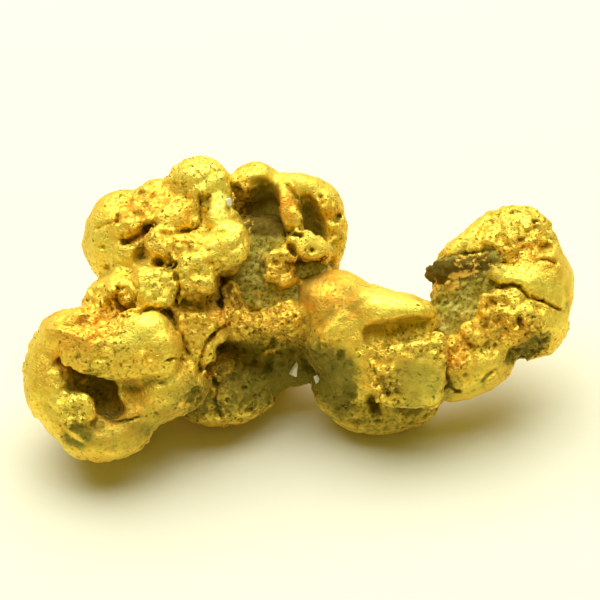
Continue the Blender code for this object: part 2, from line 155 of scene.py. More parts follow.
class Stroke(NamedTuple):
    """A mark along a line on the face: its points as seen, half-width and depth in millimetres."""

    mark: Mark
    half_width: float
    depth: float
    points: tuple


class Dent(NamedTuple):
    """An oval pit at a place on the face as seen."""

    u: float
    v: float
    half_u: float
    half_v: float
    turn: float
    depth: float


class Zone(NamedTuple):
    """An oval of the face as seen, and how strong a quality is in its middle."""

    u: float
    v: float
    half_u: float
    half_v: float
    turn: float
    strength: float


# The gold's lobes, by region: middle, half-sizes, turn, and how blocky.
LEFT_LOBE = (
    Lump((-7.6, -3.3, 0.05), (2.5, 2.7, 2.8)),  # body
    Lump((-9.85, -2.8, 1.4), (0.98, 1.95, 1.5), (0, 0, -6)),  # left rim
    Lump((-9.05, -4.6, 1.6), (1.1, 1.0, 1.3), (0, 0, -45)),  # toe
    Lump((-8.3, -5.15, 1.75), (0.85, 0.75, 1.2)),  # between toe and lower rim
    Lump((-7.5, -5.3, 1.7), (1.75, 0.95, 1.4), (0, 0, 12)),  # lower rim
    Lump((-8.9, -1.3, 1.9), (1.5, 0.95, 1.5), (0, 0, 16)),  # left end of the lip
    Lump((-7.5, -1.95, 2.5), (1.7, 0.95, 1.2), (14, 0, -8), 0.35),  # middle of the lip
    Lump((-6.1, -1.85, 2.6), (1.5, 0.95, 1.1), (12, 0, -8), 0.35),  # right end of the lip
    Lump((-6.0, -1.2, 2.8), (1.2, 0.85, 1.0), (0, 0, -12)),  # boss on the lip
    Lump((-5.3, -3.4, 1.2), (1.65, 1.3, 1.9), (0, 0, 14)),  # wall right of the hollow
    Lump((-6.2, -4.4, 1.4), (1.5, 0.8, 1.5), (0, 0, 24)),  # that wall's foot
)

NECK = (
    Lump((-7.5, -0.2, 0.2), (1.2, 1.1, 1.6)),  # rough saddle
    Lump((-7.15, 0.35, 1.0), (0.75, 0.75, 1.1), (0, 0, 20)),  # bump with a crater
    Lump((-5.72, 0.52, 1.65), (0.88, 0.76, 1.1), (0, 8, -4), 0.8),  # left block
    Lump((-4.1, 0.85, 1.8), (0.8, 0.85, 1.15), (-14, 0, 4), 0.7),  # right block
    Lump((-3.9, -0.8, 1.4), (1.05, 0.65, 1.0), (18, 0, -13), 0.6),  # wedge under the blocks
    Lump((-4.15, -1.6, 1.3), (0.6, 0.95, 1.0), (10, 0, 20), 0.4),  # wedge's lower point
    Lump((-5.2, -0.4, -0.3), (2.7, 2.0, 1.9)),  # what carries them
    Lump((-4.95, 0.35, 0.9), (1.75, 1.2, 1.5)),  # web between the blocks
    Lump((-4.6, -0.95, 1.0), (1.25, 1.2, 1.35)),  # web between wedge and boss
)

UPPER_MASS = (
    Lump((-7.05, 2.45, -0.9), (1.7, 1.95, 1.9)),  # outer lobe
    Lump((-5.8, 3.6, -1.0), (1.8, 1.2, 1.8), (0, 0, 24)),  # its shoulder
    Lump((-6.7, 3.0, 0.3), (0.9, 0.5, 0.9), (0, 0, 28), 0.3),  # flap over the cleft
    Lump((-6.9, 1.7, 0.2), (0.75, 0.6, 0.9), (0, 0, -10), 0.3),  # step under the cleft
    Lump((-4.05, 4.6, -0.2), (1.32, 1.15, 1.4)),  # knob
    Lump((-3.7, 4.1, 0.1), (1.05, 0.9, 1.4), (0, 0, -30)),  # knob's lit flank
    Lump((-4.75, 3.45, 0.4), (0.8, 0.75, 1.1), (0, 0, 22)),  # lobe under the knob
    Lump((-3.05, 3.4, 0.6), (0.62, 1.35, 1.2), (0, 0, 16)),  # strap
    Lump((-2.8, 2.0, 1.25), (0.8, 0.8, 1.1), (-14, 0, 14), 0.5),  # brow at the strap's end
    Lump((-3.7, 1.75, 1.3), (0.8, 0.7, 1.1), (0, 0, 8), 0.4),  # cheek beside the brow
    Lump((-4.9, 2.15, 1.0), (1.25, 0.55, 1.0), (0, 0, -20), 0.45),  # slab
    Lump((-4.8, 2.2, -1.3), (2.6, 2.3, 1.9)),  # what carries them
    Lump((-4.6, 2.5, 0.0), (2.1, 1.6, 1.4)),  # web between lobe, slab and strap
    Lump((-5.8, 1.5, 0.5), (1.0, 0.8, 1.1)),  # web between slab and left block
)

RING = (
    Lump((-1.85, 4.8, -1.0), (0.92, 0.75, 1.1)),  # left bump
    Lump((-0.1, 4.5, -1.1), (1.4, 0.62, 1.2), (0, 0, -6)),  # arch
    Lump((0.9, 3.95, -1.3), (0.95, 0.8, 1.3), (0, 0, -40)),  # arch's corner
    Lump((1.35, 3.0, -1.3), (0.5, 1.3, 1.2), (0, 0, 6)),  # right limb
    Lump((1.2, 1.95, -1.3), (0.5, 0.6, 1.0)),  # its foot
    Lump((-0.4, 3.68, -0.15), (0.42, 1.08, 0.9), (0, 0, 12), 0.4),  # pillar
    Lump((0.35, 2.05, 0.0), (0.95, 0.58, 0.9), (0, 0, -22), 0.2),  # lobe under the pillar
    Lump((-0.7, 1.25, 0.3), (0.55, 0.75, 0.8), (0, 0, 15), 0.4),  # rough ledge
    Lump((-0.5, 3.2, -2.2), (2.0, 1.9, 1.25)),  # back wall
    Lump((-0.8, 1.4, -2.2), (2.4, 1.8, 1.3)),  # back wall's foot
)

BRIDGE = (
    Lump((-1.1, -0.5, -1.0), (2.6, 1.7, 1.6)),  # core
    Lump((-1.5, -0.95, 0.5), (1.7, 0.5, 0.9), (0, 0, 8), 0.3),  # crumbly ledge
    Lump((-2.75, -0.2, 0.6), (0.42, 0.8, 0.8), (0, 0, 4), 0.4),  # crumbly post
    Lump((-1.0, -2.2, -1.7), (2.6, 1.4, 1.3)),  # underside
    Lump((-3.4, -3.6, -0.8), (2.1, 1.5, 1.7)),  # belly
    Lump((-2.2, -3.65, -1.1), (1.5, 1.0, 1.4), (0, 0, 14)),  # belly's right end
    Lump((-4.3, -3.3, 0.3), (1.0, 0.8, 0.8), (0, 0, -25), 0.2),  # knuckle on the belly
    Lump((-3.0, -4.3, 0.0), (1.2, 0.5, 0.8), (0, 0, 12), 0.2),  # ledge on the belly
)

MID_LOBE = (
    Lump((2.6, -1.5, -0.1), (2.5, 2.1, 2.1)),  # body
    Lump((1.5, -0.25, -0.2), (1.8, 1.42, 1.9), (0, 0, -14)),  # smooth shoulder
    Lump((3.65, -0.5, 0.55), (1.85, 0.88, 1.8), (0, 0, -12), 0.1),  # crest
    Lump((1.9, -0.95, 0.8), (1.5, 0.5, 1.2), (0, 0, 36), 0.1),  # ridge down from the crest
    Lump((4.35, -2.15, 1.1), (1.55, 0.6, 1.3), (0, 0, 6), 0.1),  # lip under the slot
    Lump((4.3, -2.85, 0.8), (1.5, 1.3, 1.55), (8, 0, -4), 0.35),  # cheek
    Lump((2.4, -2.9, 0.1), (1.5, 1.3, 1.6)),  # wall left of the cheek
    Lump((1.45, -3.5, -0.9), (0.95, 1.2, 1.4)),  # left leg
    Lump((3.25, -4.2, -0.9), (2.2, 1.2, 1.6), (0, 0, 4)),  # foot
    Lump((4.55, -4.2, -0.9), (1.1, 0.95, 1.2)),  # foot's right end
)

ARM = (
    Lump((6.7, -2.6, -0.2), (2.1, 1.35, 1.6), (0, 0, 22)),  # root
    Lump((9.05, -0.75, -0.4), (1.75, 1.65, 1.7)),  # elbow
    Lump((9.45, 0.7, -0.6), (1.6, 1.9, 1.7), (0, 0, 6)),  # outer bend
    Lump((8.8, 2.2, -1.0), (1.6, 1.65, 1.6), (0, 0, 30)),  # end of the arm
    Lump((7.65, 2.3, -1.0), (1.75, 1.05, 1.35), (0, 0, 43)),  # its inner edge
    Lump((6.75, 2.2, -1.0), (1.45, 0.55, 1.1), (0, 0, 42), 0.1),  # strip over the notch
    Lump((8.9, 0.75, 0.1), (1.6, 0.7, 1.15), (0, 0, -12)),  # smooth band over the cleft
    Lump((8.1, -0.7, 0.1), (1.2, 1.1, 1.2), (0, 0, 30), 0.2),  # rough middle
    Lump((7.1, -1.3, 0.4), (0.75, 0.7, 0.9)),  # round knob in the notch
    Lump((5.5, -1.5, -0.9), (0.9, 0.9, 1.0)),  # web between cheek and arm
)

BACK = (
    Lump((-5.0, 0.6, -2.6), (2.7, 2.4, 1.7), (0, 0, 30)),  # hump behind the neck
    Lump((-7.4, -2.4, -1.3), (1.9, 1.6, 1.5)),  # heel of the left lobe
    Lump((-2.2, -1.5, -3.25), (2.4, 1.9, 2.1), (0, 0, -12)),  # low hump behind the bridge
    Lump((-3.2, 3.4, -2.6), (1.5, 1.4, 1.2)),  # knuckle behind the knob
    Lump((-0.6, -0.3, -2.6), (2.0, 1.4, 1.2), (0, 0, -15)),  # fold across the bridge
    Lump((2.5, -1.0, -1.8), (2.0, 1.6, 1.4), (0, 0, 20)),  # hump behind the mid lobe
    Lump((6.6, -1.8, -1.6), (1.4, 1.0, 1.0), (0, 0, 30)),  # knuckle behind the arm's root
    Lump((8.9, 0.6, -2.2), (1.3, 1.9, 0.9), (0, 0, -8)),  # ridge down the arm's back
    Lump((7.0, -0.3, -2.0), (1.7, 1.5, 0.75)),  # shelf behind the notch's rock
    Lump((-0.6, 2.6, -3.1), (0.9, 1.2, 0.7), (0, 0, 24)),  # knuckle behind the ring
    Lump((-6.6, -0.9, -2.3), (1.1, 0.9, 0.9), (0, 0, -20)),  # knuckle behind the saddle
    Lump((4.1, -2.6, -1.7), (1.1, 0.8, 0.8), (0, 0, 10)),  # knuckle behind the cheek
)

# What is cut out of the fused lobes.
HOLLOWS = (
    Lump((-8.5, -2.75, 2.4), (1.2, 0.6, 1.05), (24, 0, -20)),  # under the left lobe's lip
    Lump((-7.75, -3.5, 2.3), (0.72, 1.0, 1.0), (22, 0, 0)),  # its deep middle
    Lump((-7.3, -4.15, 2.7), (0.5, 0.45, 1.1), (0, 0, 10)),  # its right end
    Lump((-8.6, -3.75, 3.1), (0.95, 0.8, 1.4), (0, 0, 20)),  # pocket round the knob
    Lump((-5.95, 2.7, 1.1), (0.75, 0.16, 0.65), (0, 0, 40)),  # cleft in the outer lobe
    Lump((-6.3, 1.75, 1.2), (0.2, 0.2, 0.8)),  # hole beside the slab
    Lump((-3.2, 0.0, 2.3), (0.24, 0.5, 1.0), (0, 0, 6)),  # recess under the brow
    Lump((-2.6, 0.95, 2.2), (0.7, 0.2, 0.9), (0, 0, 12)),  # shadow under the brow
    Lump((-4.72, -1.0, 2.9), (0.1, 1.0, 0.75), (0, 0, 24)),  # cleft beside the boss
    Lump((-4.88, 0.6, 2.9), (0.07, 0.8, 0.6), (0, 0, -2)),  # cleft between the blocks
    Lump((-5.95, -0.42, 2.9), (1.1, 0.1, 0.8), (0, 0, 6)),  # cleft under the left block
    Lump((-2.62, 3.85, 0.2), (0.16, 0.5, 3.0)),  # slit between strap and ring
    Lump((-1.45, 3.7, 0.2), (0.72, 1.15, 1.15), (0, 0, 12)),  # left hollow of the ring
    Lump((0.5, 3.05, 0.0), (0.48, 1.2, 1.05), (0, 0, 22)),  # right hollow of the ring
    Lump((-1.7, 0.9, 1.0), (0.85, 1.5, 1.5)),  # pocket that holds the rock
    Lump((0.3, 1.15, 0.9), (0.8, 0.24, 1.0), (0, 0, 8)),  # gap over the smooth shoulder
    Lump((-1.5, -2.25, 1.0), (2.15, 0.75, 1.3), (18, 0, 2)),  # cave under the crumbly ledge
    Lump((-0.3, -3.6, 0.9), (1.2, 1.3, 1.9)),  # gap between the belly and the leg
    Lump((3.95, -1.14, 2.6), (1.5, 0.56, 1.2), (-10, 0, 8), 0.6),  # slot in the mid lobe
    Lump((2.85, -4.15, 1.4), (0.32, 0.55, 1.4), (0, 0, 20)),  # hole in the foot
    Lump((4.2, -4.35, 1.5), (1.2, 0.08, 0.8), (0, 0, 8)),  # crease between cheek and foot
    Lump((6.1, 0.15, 0.2), (1.3, 1.3, 1.4), (0, 0, -14)),  # notch of the arm
    Lump((8.9, 0.25, 1.5), (1.3, 0.09, 0.95), (0, 0, -20)),  # cleft across the bend
    Lump((8.0, -1.2, 2.0), (0.35, 0.4, 0.9)),  # pit in the rough middle
    Lump((5.85, -2.6, 2.0), (0.16, 0.9, 1.0), (0, 0, -8)),  # crease between cheek and arm
    Lump((-5.9, 2.9, -4.3), (0.55, 1.5, 1.1), (0, 0, 38)),  # fold down the upper mass, at the back
    Lump((-2.4, 0.9, -5.1), (0.6, 1.4, 1.4), (0, 0, -35)),  # fold beside the hump, at the back
    Lump((0.6, -1.6, -3.3), (0.3, 1.5, 1.3), (0, 0, -10)),  # fold between bridge and mid lobe
    Lump((-5.9, -2.9, -3.3), (0.35, 1.3, 1.4), (0, 0, 20)),  # fold between heel and belly
    Lump((9.6, -0.4, -2.9), (0.9, 0.22, 1.0), (0, 0, 30)),  # fold behind the elbow
)

# What stands in the hollows.
KNOBS = (
    Lump((-8.7, -4.25, 2.4), (0.72, 0.74, 0.8)),  # knob in the left lobe's hollow
    Lump((-8.75, -5.0, 1.9), (0.65, 0.5, 0.7)),  # that knob's foot
    Lump((-9.35, -3.2, 2.2), (0.35, 0.75, 0.6), (0, 0, -14), 0.3),  # shelf at the hollow's left
    Lump((6.85, -1.35, 0.9), (0.46, 0.44, 0.6)),  # round knob in the notch
)

# The rock in the tall pocket and in the arm's notch.
POCKET_ROCK = (
    Lump((-1.75, 1.3, -0.3), (1.3, 1.9, 1.1), (0, 0, 6), 0.3),  # body
    Lump((-1.2, 0.3, -0.2), (1.2, 0.9, 0.9), (0, 0, 0), 0.3),  # foot
    Lump((-1.5, 2.6, -1.05), (0.95, 0.8, 0.7), (0, 0, 8), 0.2),  # its top, deep in the ring
    Lump((0.3, 1.2, -0.4), (0.9, 0.36, 0.8), (0, 0, 8), 0.3),  # patch over the smooth shoulder
)

NOTCH_ROCK = (
    Lump((7.2, 0.3, -0.6), (1.8, 1.35, 1.0), (0, 0, -10), 0.4),  # body
    Lump((6.4, -0.9, -0.3), (1.1, 1.0, 0.8), (0, 0, 10), 0.3),  # foot
    Lump((6.2, 1.2, -0.3), (0.75, 0.42, 0.8), (0, 0, 4), 0.8),  # brown ledge
    Lump((7.2, 1.3, -0.35), (0.85, 0.5, 0.8), (10, 0, 18), 0.8),  # its right part
    Lump((6.5, 0.75, -0.2), (0.8, 0.22, 0.7), (0, 0, 20), 0.8),  # a flake under it
    Lump((5.6, 1.15, -0.5), (0.5, 0.3, 0.4), (0, 0, 25), 0.3),  # spur
)

# Where rust and flakes of gold lie on each rock; the pocket rock's rust zone is painted shade deep in the
# ring.
POCKET_SHADE = (
    Zone(-1.4, 3.1, 0.9, 0.7, 0, 0.8),  # painted shade in the ring's left hollow
)
POCKET_GOLD = (
    Zone(-2.1, 0.1, 0.9, 0.5, 0, 0.5),  # foot of the pocket
    Zone(-1.0, 0.6, 0.5, 0.8, 0, 0.6),  # beside the rough ledge
    Zone(-2.2, 2.9, 0.4, 0.9, 0, 0.6),  # along the strap
    Zone(0.4, 1.1, 0.8, 0.4, 0, 0.3),  # over the smooth shoulder
)
NOTCH_RUST = (
    Zone(6.5, 1.3, 1.4, 0.5, 12, 1.0),  # brown ledge
    Zone(5.6, 1.1, 0.5, 0.4, 0, 1.0),  # spur
)
NOTCH_GOLD = (
    Zone(5.7, 0.3, 0.6, 0.4, 0, 1.0),  # streaks left of the rock
    Zone(6.6, 0.9, 0.8, 0.25, 20, 0.8),  # streaks under the ledge
    Zone(6.2, -0.7, 0.7, 0.3, 15, 0.6),  # streaks at the rock's foot
    Zone(6.4, 1.3, 1.1, 0.5, 12, 0.7),  # flakes on the ledge
)

# Fine bodies stuck to the skin: u and v as seen, half-sizes, turn, how blocky, and how far out.
BOSSES = (
    Boss(-5.75, -0.2, (0.55, 0.2, 0.3), 6, 0.2, 0.1),  # rim under the left block
    Boss(-7.75, -0.3, (0.42, 0.35, 0.35), 30, 0.3, 0.0),  # saddle
    Boss(-5.35, 2.15, (0.8, 0.42, 0.35), -22, 0.4, 0.1),  # slab
    Boss(-4.55, 1.95, (0.6, 0.4, 0.35), -10, 0.3, 0.15),  # slab's right end
    Boss(-4.3, 1.3, (0.6, 0.45, 0.35), 5, 0.2, 0.1),  # cheek over the right block
    Boss(-5.05, 3.2, (0.75, 0.6, 0.5), 15, 0.0, 0.1),  # lobe under the knob
    Boss(-3.25, 3.15, (0.5, 0.75, 0.45), 12, 0.0, 0.1),  # strap's swelling
    Boss(-2.7, 2.0, (0.55, 0.6, 0.4), 10, 0.2, 0.1),  # brow
    Boss(-3.5, 2.0, (0.4, 0.4, 0.3), 10, 0.2, 0.1),  # brow's left part
    Boss(-3.55, 3.95, (0.2, 0.16, 0.2), 20, 0.3, 0.1),  # crumb in the eye
    Boss(-6.3, 3.75, (0.4, 0.3, 0.25), 25, 0.4, 0.05),  # flap's crumb
    Boss(-5.7, 3.5, (0.4, 0.25, 0.25), -30, 0.4, 0.05),  # flap's crumb
    Boss(-6.9, 2.95, (0.55, 0.25, 0.25), 20, 0.3, 0.05),  # flap over the cleft
    Boss(-6.9, 1.85, (0.5, 0.35, 0.3), -10, 0.4, 0.05),  # step under the cleft
    Boss(-4.1, 4.9, (0.7, 0.55, 0.4), 20, 0.0, 0.0),  # knob
    Boss(-3.35, 4.5, (0.45, 0.7, 0.4), -25, 0.0, 0.05),  # knob's lit flank
    Boss(-2.3, 3.1, (0.2, 0.35, 0.3), 10, 0.3, 0.1),  # crumbs on the strap's back
    Boss(-0.6, 3.6, (0.22, 0.65, 0.3), 10, 0.25, 0.04),  # pillar's crest
    Boss(-0.15, 3.2, (0.2, 0.5, 0.25), 10, 0.2, 0.1),  # pillar's lower end
    Boss(0.3, 2.15, (0.85, 0.5, 0.35), -25, 0.1, 0.1),  # lobe under the pillar
    Boss(-0.75, 2.1, (0.4, 0.3, 0.3), 30, 0.3, 0.05),  # its left end
    Boss(-0.9, 1.55, (0.5, 0.4, 0.3), 20, 0.4, 0.1),  # rough ledge
    Boss(-0.8, 1.0, (0.5, 0.35, 0.3), -10, 0.4, 0.1),  # rough ledge's foot
    Boss(-2.75, 0.45, (0.3, 0.22, 0.3), 0, 0.5, 0.15),  # top of the crumbly post
    Boss(-2.75, -0.2, (0.28, 0.4, 0.3), 5, 0.4, 0.15),  # crumbly post
    Boss(-2.1, -0.75, (0.4, 0.25, 0.3), -10, 0.4, 0.1),  # ledge
    Boss(-1.1, -0.55, (0.4, 0.28, 0.3), 15, 0.4, 0.1),  # ledge
    Boss(-0.5, -0.3, (0.35, 0.3, 0.3), 30, 0.4, 0.1),  # ledge's right end
    Boss(-8.95, -1.0, (0.75, 0.4, 0.3), 12, 0.0, 0.0),  # bump on the left lobe's top
    Boss(-8.8, -4.35, (0.52, 0.6, 0.4), 10, 0.1, 0.1),  # knob in the hollow
    Boss(-9.55, -3.95, (0.4, 0.4, 0.3), 30, 0.2, 0.1),  # crumb beside that knob
    Boss(-9.7, -3.1, (0.22, 0.3, 0.25), 10, 0.4, 0.1),  # crumb on the hollow's shelf
    Boss(-8.75, -5.1, (0.62, 0.36, 0.4), -32, 0.0, 0.1),  # what carries the greenish scales
    Boss(-8.9, -5.25, (0.5, 0.12, 0.2), -32, 0.5, 0.05),  # greenish scale
    Boss(-8.65, -5.55, (0.45, 0.1, 0.2), -32, 0.5, 0.05),  # greenish scale
    Boss(4.5, -2.0, (1.3, 0.32, 0.3), 8, 0.0, 0.05),  # lip under the slot
    Boss(5.55, -1.75, (0.3, 0.4, 0.3), 0, 0.2, 0.05),  # lip's right end
    Boss(3.3, -3.3, (0.45, 0.4, 0.3), 0, 0.2, 0.05),  # rough left of the cheek
    Boss(6.9, -1.35, (0.48, 0.42, 0.4), -20, 0.0, 0.1),  # round knob
    Boss(8.4, -0.35, (0.4, 0.35, 0.3), 20, 0.4, 0.05),  # rough middle of the arm
    Boss(9.2, -0.7, (0.35, 0.5, 0.3), 30, 0.3, 0.05),  # rough middle of the arm
    Boss(7.6, -0.1, (0.3, 0.3, 0.3), 0, 0.4, 0.1),  # rough middle of the arm
    Boss(8.1, -1.0, (0.18, 0.4, 0.25), -35, 0.3, 0.1),  # rib between the arm's pits
    Boss(7.6, -3.1, (0.35, 0.25, 0.25), 35, 0.3, 0.0),  # step under the arm
)

# Patches of crumbs: place, half-sizes, turn, size of a crumb, and how many.
CRUMB_PATCHES = (
    Crumbs(-1.6, -0.8, 1.5, 0.45, 4, 0.17, 90),  # bridge's ledge
    Crumbs(-2.75, 0.0, 0.3, 0.75, 0, 0.14, 26),  # crumbly post
    Crumbs(-0.8, 1.4, 0.6, 0.8, 10, 0.13, 60),  # rough ledge in the ring
    Crumbs(-4.0, -1.0, 0.9, 0.6, -20, 0.1, 5),  # wedge
    Crumbs(-5.8, 0.5, 0.65, 0.6, 0, 0.09, 16),  # left block
    Crumbs(-4.2, 0.7, 0.6, 0.9, 0, 0.09, 18),  # right block
    Crumbs(-7.7, -0.2, 0.9, 0.8, 20, 0.14, 36),  # saddle
    Crumbs(-5.3, 2.1, 1.3, 0.5, -18, 0.11, 22),  # slab
    Crumbs(-2.1, 3.6, 0.4, 1.0, 10, 0.12, 60),  # between strap and ring
    Crumbs(-1.9, 4.6, 0.7, 0.25, 0, 0.13, 18),  # under the ring's left bump
    Crumbs(-6.0, 3.6, 0.7, 0.6, 30, 0.13, 22),  # flap
    Crumbs(-9.6, -3.6, 0.25, 0.8, 10, 0.15, 24),  # shelf in the hollow
    Crumbs(-8.8, -4.3, 0.5, 0.5, 0, 0.12, 20),  # knob in the hollow
    Crumbs(-7.2, -2.2, 1.6, 0.5, -6, 0.1, 8),  # rough part of the lip
    Crumbs(8.2, -0.6, 1.2, 0.9, 30, 0.14, 54),  # bend of the arm
    Crumbs(6.2, -2.1, 0.6, 0.8, 30, 0.13, 34),  # crease between cheek and arm
    Crumbs(3.3, -3.3, 0.7, 0.7, 0, 0.13, 24),  # left of the cheek
    Crumbs(-3.0, -3.6, 1.5, 0.9, 0, 0.13, 34),  # belly
    Crumbs(8.5, 2.2, 1.4, 1.1, 30, 0.11, 44),  # end of the arm
    Crumbs(1.9, -3.3, 0.6, 1.1, 0, 0.12, 8),  # left leg
    Crumbs(4.3, -1.95, 1.6, 0.35, 3, 0.11, 60),  # lip
    Crumbs(9.1, -1.95, 0.8, 0.4, 35, 0.11, 20),  # pit under the elbow
)

# Cracks, folds and ridges, each with its half-width, its depth and its line as seen.
STROKES = (
    # Neck
    Stroke(Mark.CRACK, 0.09, 0.55, ((-4.96, 1.12), (-4.88, 0.6), (-4.92, 0.16), (-4.96, -0.2))),
    Stroke(Mark.CRACK, 0.13, 0.4, ((-5.4, -0.32), (-5.12, -0.72), (-4.8, -1.4), (-4.4, -2.28))),
    Stroke(Mark.CRACK, 0.09, 0.35, ((-7.28, -0.72), (-6.6, -0.56), (-6.0, -0.32), (-5.4, -0.4))),
    Stroke(Mark.CRACK, 0.1, 0.4, ((-7.28, 0.6), (-7.36, 0.08), (-7.12, -0.32), (-6.68, -0.48))),
    Stroke(Mark.CRACK, 0.08, 0.3, ((-6.68, 0.68), (-6.56, 0.32), (-6.64, -0.12))),
    # Upper mass
    Stroke(Mark.CRACK, 0.12, 0.4, ((-5.72, 3.12), (-6.12, 2.88), (-6.6, 2.48), (-7.08, 2.28))),
    Stroke(Mark.CRACK, 0.07, 0.16, ((-8.2, 2.8), (-7.88, 3.04), (-7.52, 3.12), (-7.2, 3.2))),
    Stroke(Mark.CRACK, 0.08, 0.2, ((-4.04, 4.12), (-4.0, 3.6), (-3.96, 3.12), (-4.2, 2.8))),
    Stroke(Mark.FOLD, 0.16, 0.2, ((-3.92, 2.24), (-3.68, 2.52), (-3.32, 2.68), (-2.96, 2.68))),
    Stroke(Mark.CRACK, 0.1, 0.3, ((-5.6, 2.72), (-5.12, 2.64), (-4.6, 2.8), (-4.08, 2.88))),
    Stroke(Mark.CRACK, 0.07, 0.2, ((-5.48, 2.56), (-4.8, 2.28), (-4.2, 2.32), (-3.8, 2.16))),
    Stroke(Mark.CRACK, 0.12, 0.2, ((-6.16, 1.76), (-5.68, 1.44), (-5.28, 1.28), (-4.88, 1.4))),
    Stroke(Mark.CRACK, 0.07, 0.2, ((-6.48, 1.2), (-6.0, 1.36), (-5.4, 1.24), (-5.04, 1.04))),
    # Wedge, post and wall
    Stroke(Mark.FOLD, 0.3, 0.35, ((-4.8, -0.12), (-4.2, -0.14), (-3.6, -0.08))),
    Stroke(Mark.CRACK, 0.06, 0.15, ((-4.8, -0.28), (-4.2, -0.4), (-3.52, -0.5), (-2.88, -0.6))),
    Stroke(Mark.CRACK, 0.1, 0.35,
           ((-2.72, -0.88), (-3.28, -1.2), (-3.76, -1.72), (-4.04, -2.4), (-4.04, -3.1))),
    Stroke(Mark.CRACK, 0.1, 0.35, ((-3.16, 0.6), (-3.2, 0.0), (-3.08, -0.72))),
    Stroke(Mark.CRACK, 0.07, 0.3, ((-5.4, -2.44), (-5.0, -2.32), (-4.56, -2.4))),
    Stroke(Mark.CRACK, 0.06, 0.2, ((-7.84, -4.68), (-7.4, -4.88), (-6.8, -4.8), (-6.3, -4.6))),
    # Left lobe
    Stroke(Mark.RIDGE, 0.09, 0.09, ((-10.28, -1.2), (-9.8, -1.2), (-9.2, -1.24))),
    Stroke(Mark.FOLD, 0.2, 0.2, ((-8.88, -0.88), (-8.6, -0.72), (-8.28, -0.52))),
    Stroke(Mark.FOLD, 0.2, 0.2, ((-4.12, -3.4), (-4.32, -4.2), (-5.0, -5.0))),
    # Ring
    Stroke(Mark.FOLD, 0.14, 0.15, ((-2.4, 4.6), (-2.08, 4.75), (-1.68, 4.7), (-1.2, 4.66))),
    Stroke(Mark.CRACK, 0.09, 0.3, ((-0.68, 4.8), (-0.32, 4.4), (0.0, 4.0))),
    Stroke(Mark.CRACK, 0.08, 0.25, ((0.8, 4.2), (0.92, 3.8))),
    Stroke(Mark.CRACK, 0.09, 0.35, ((-1.0, 2.6), (-0.4, 2.68), (0.12, 2.56))),
    Stroke(Mark.CRACK, 0.1, 0.4, ((-0.68, 1.52), (0.0, 1.4), (0.6, 1.44), (1.12, 1.8))),
    # Mid lobe, then the hollow's wall and the belly
    Stroke(Mark.RIDGE, 0.2, 0.2, ((2.9, 0.6), (2.1, 0.0), (1.4, -0.8), (0.6, -1.6))),
    Stroke(Mark.RIDGE, 0.16, 0.06,
           ((2.64, -3.44), (3.12, -4.0), (3.68, -4.36), (4.4, -4.56), (5.12, -4.48))),
    Stroke(Mark.FOLD, 0.2, 0.12, ((-7.28, -3.4), (-6.4, -3.52), (-5.4, -3.08), (-4.48, -2.5))),
    Stroke(Mark.CRACK, 0.1, 0.25, ((-3.6, -2.9), (-3.3, -3.5), (-3.4, -4.2), (-3.1, -4.8))),
    Stroke(Mark.FOLD, 0.2, 0.2, ((-1.5, -3.4), (-1.9, -3.9), (-2.1, -4.5))),
    # Arm
    Stroke(Mark.CRACK, 0.07, 0.3, ((5.88, -1.8), (6.0, -2.4), (5.84, -2.88), (6.0, -3.36), (5.64, -3.68))),
    Stroke(Mark.CRACK, 0.07, 0.25, ((6.0, -3.44), (6.24, -3.64), (6.48, -3.64))),
    Stroke(Mark.CRACK, 0.11, 0.5, ((7.44, 0.64), (8.0, 0.52), (8.48, 0.6), (8.92, 0.48))),
    Stroke(Mark.CRACK, 0.08, 0.35,
           ((8.8, 0.44), (9.12, 0.12), (9.72, -0.04), (10.2, -0.28), (10.52, -0.44))),
    Stroke(Mark.CRACK, 0.07, 0.25, ((9.6, 1.6), (9.9, 1.64), (10.3, 1.44))),
    Stroke(Mark.CRACK, 0.06, 0.2, ((7.8, 1.52), (8.4, 1.44), (8.8, 1.52))),
    Stroke(Mark.CRACK, 0.06, 0.1, ((7.2, -3.32), (7.48, -3.04), (7.88, -2.72))),
    Stroke(Mark.CRACK, 0.07, 0.2, ((5.8, 1.6), (6.48, 1.84), (7.2, 1.92), (7.88, 2.04))),
)

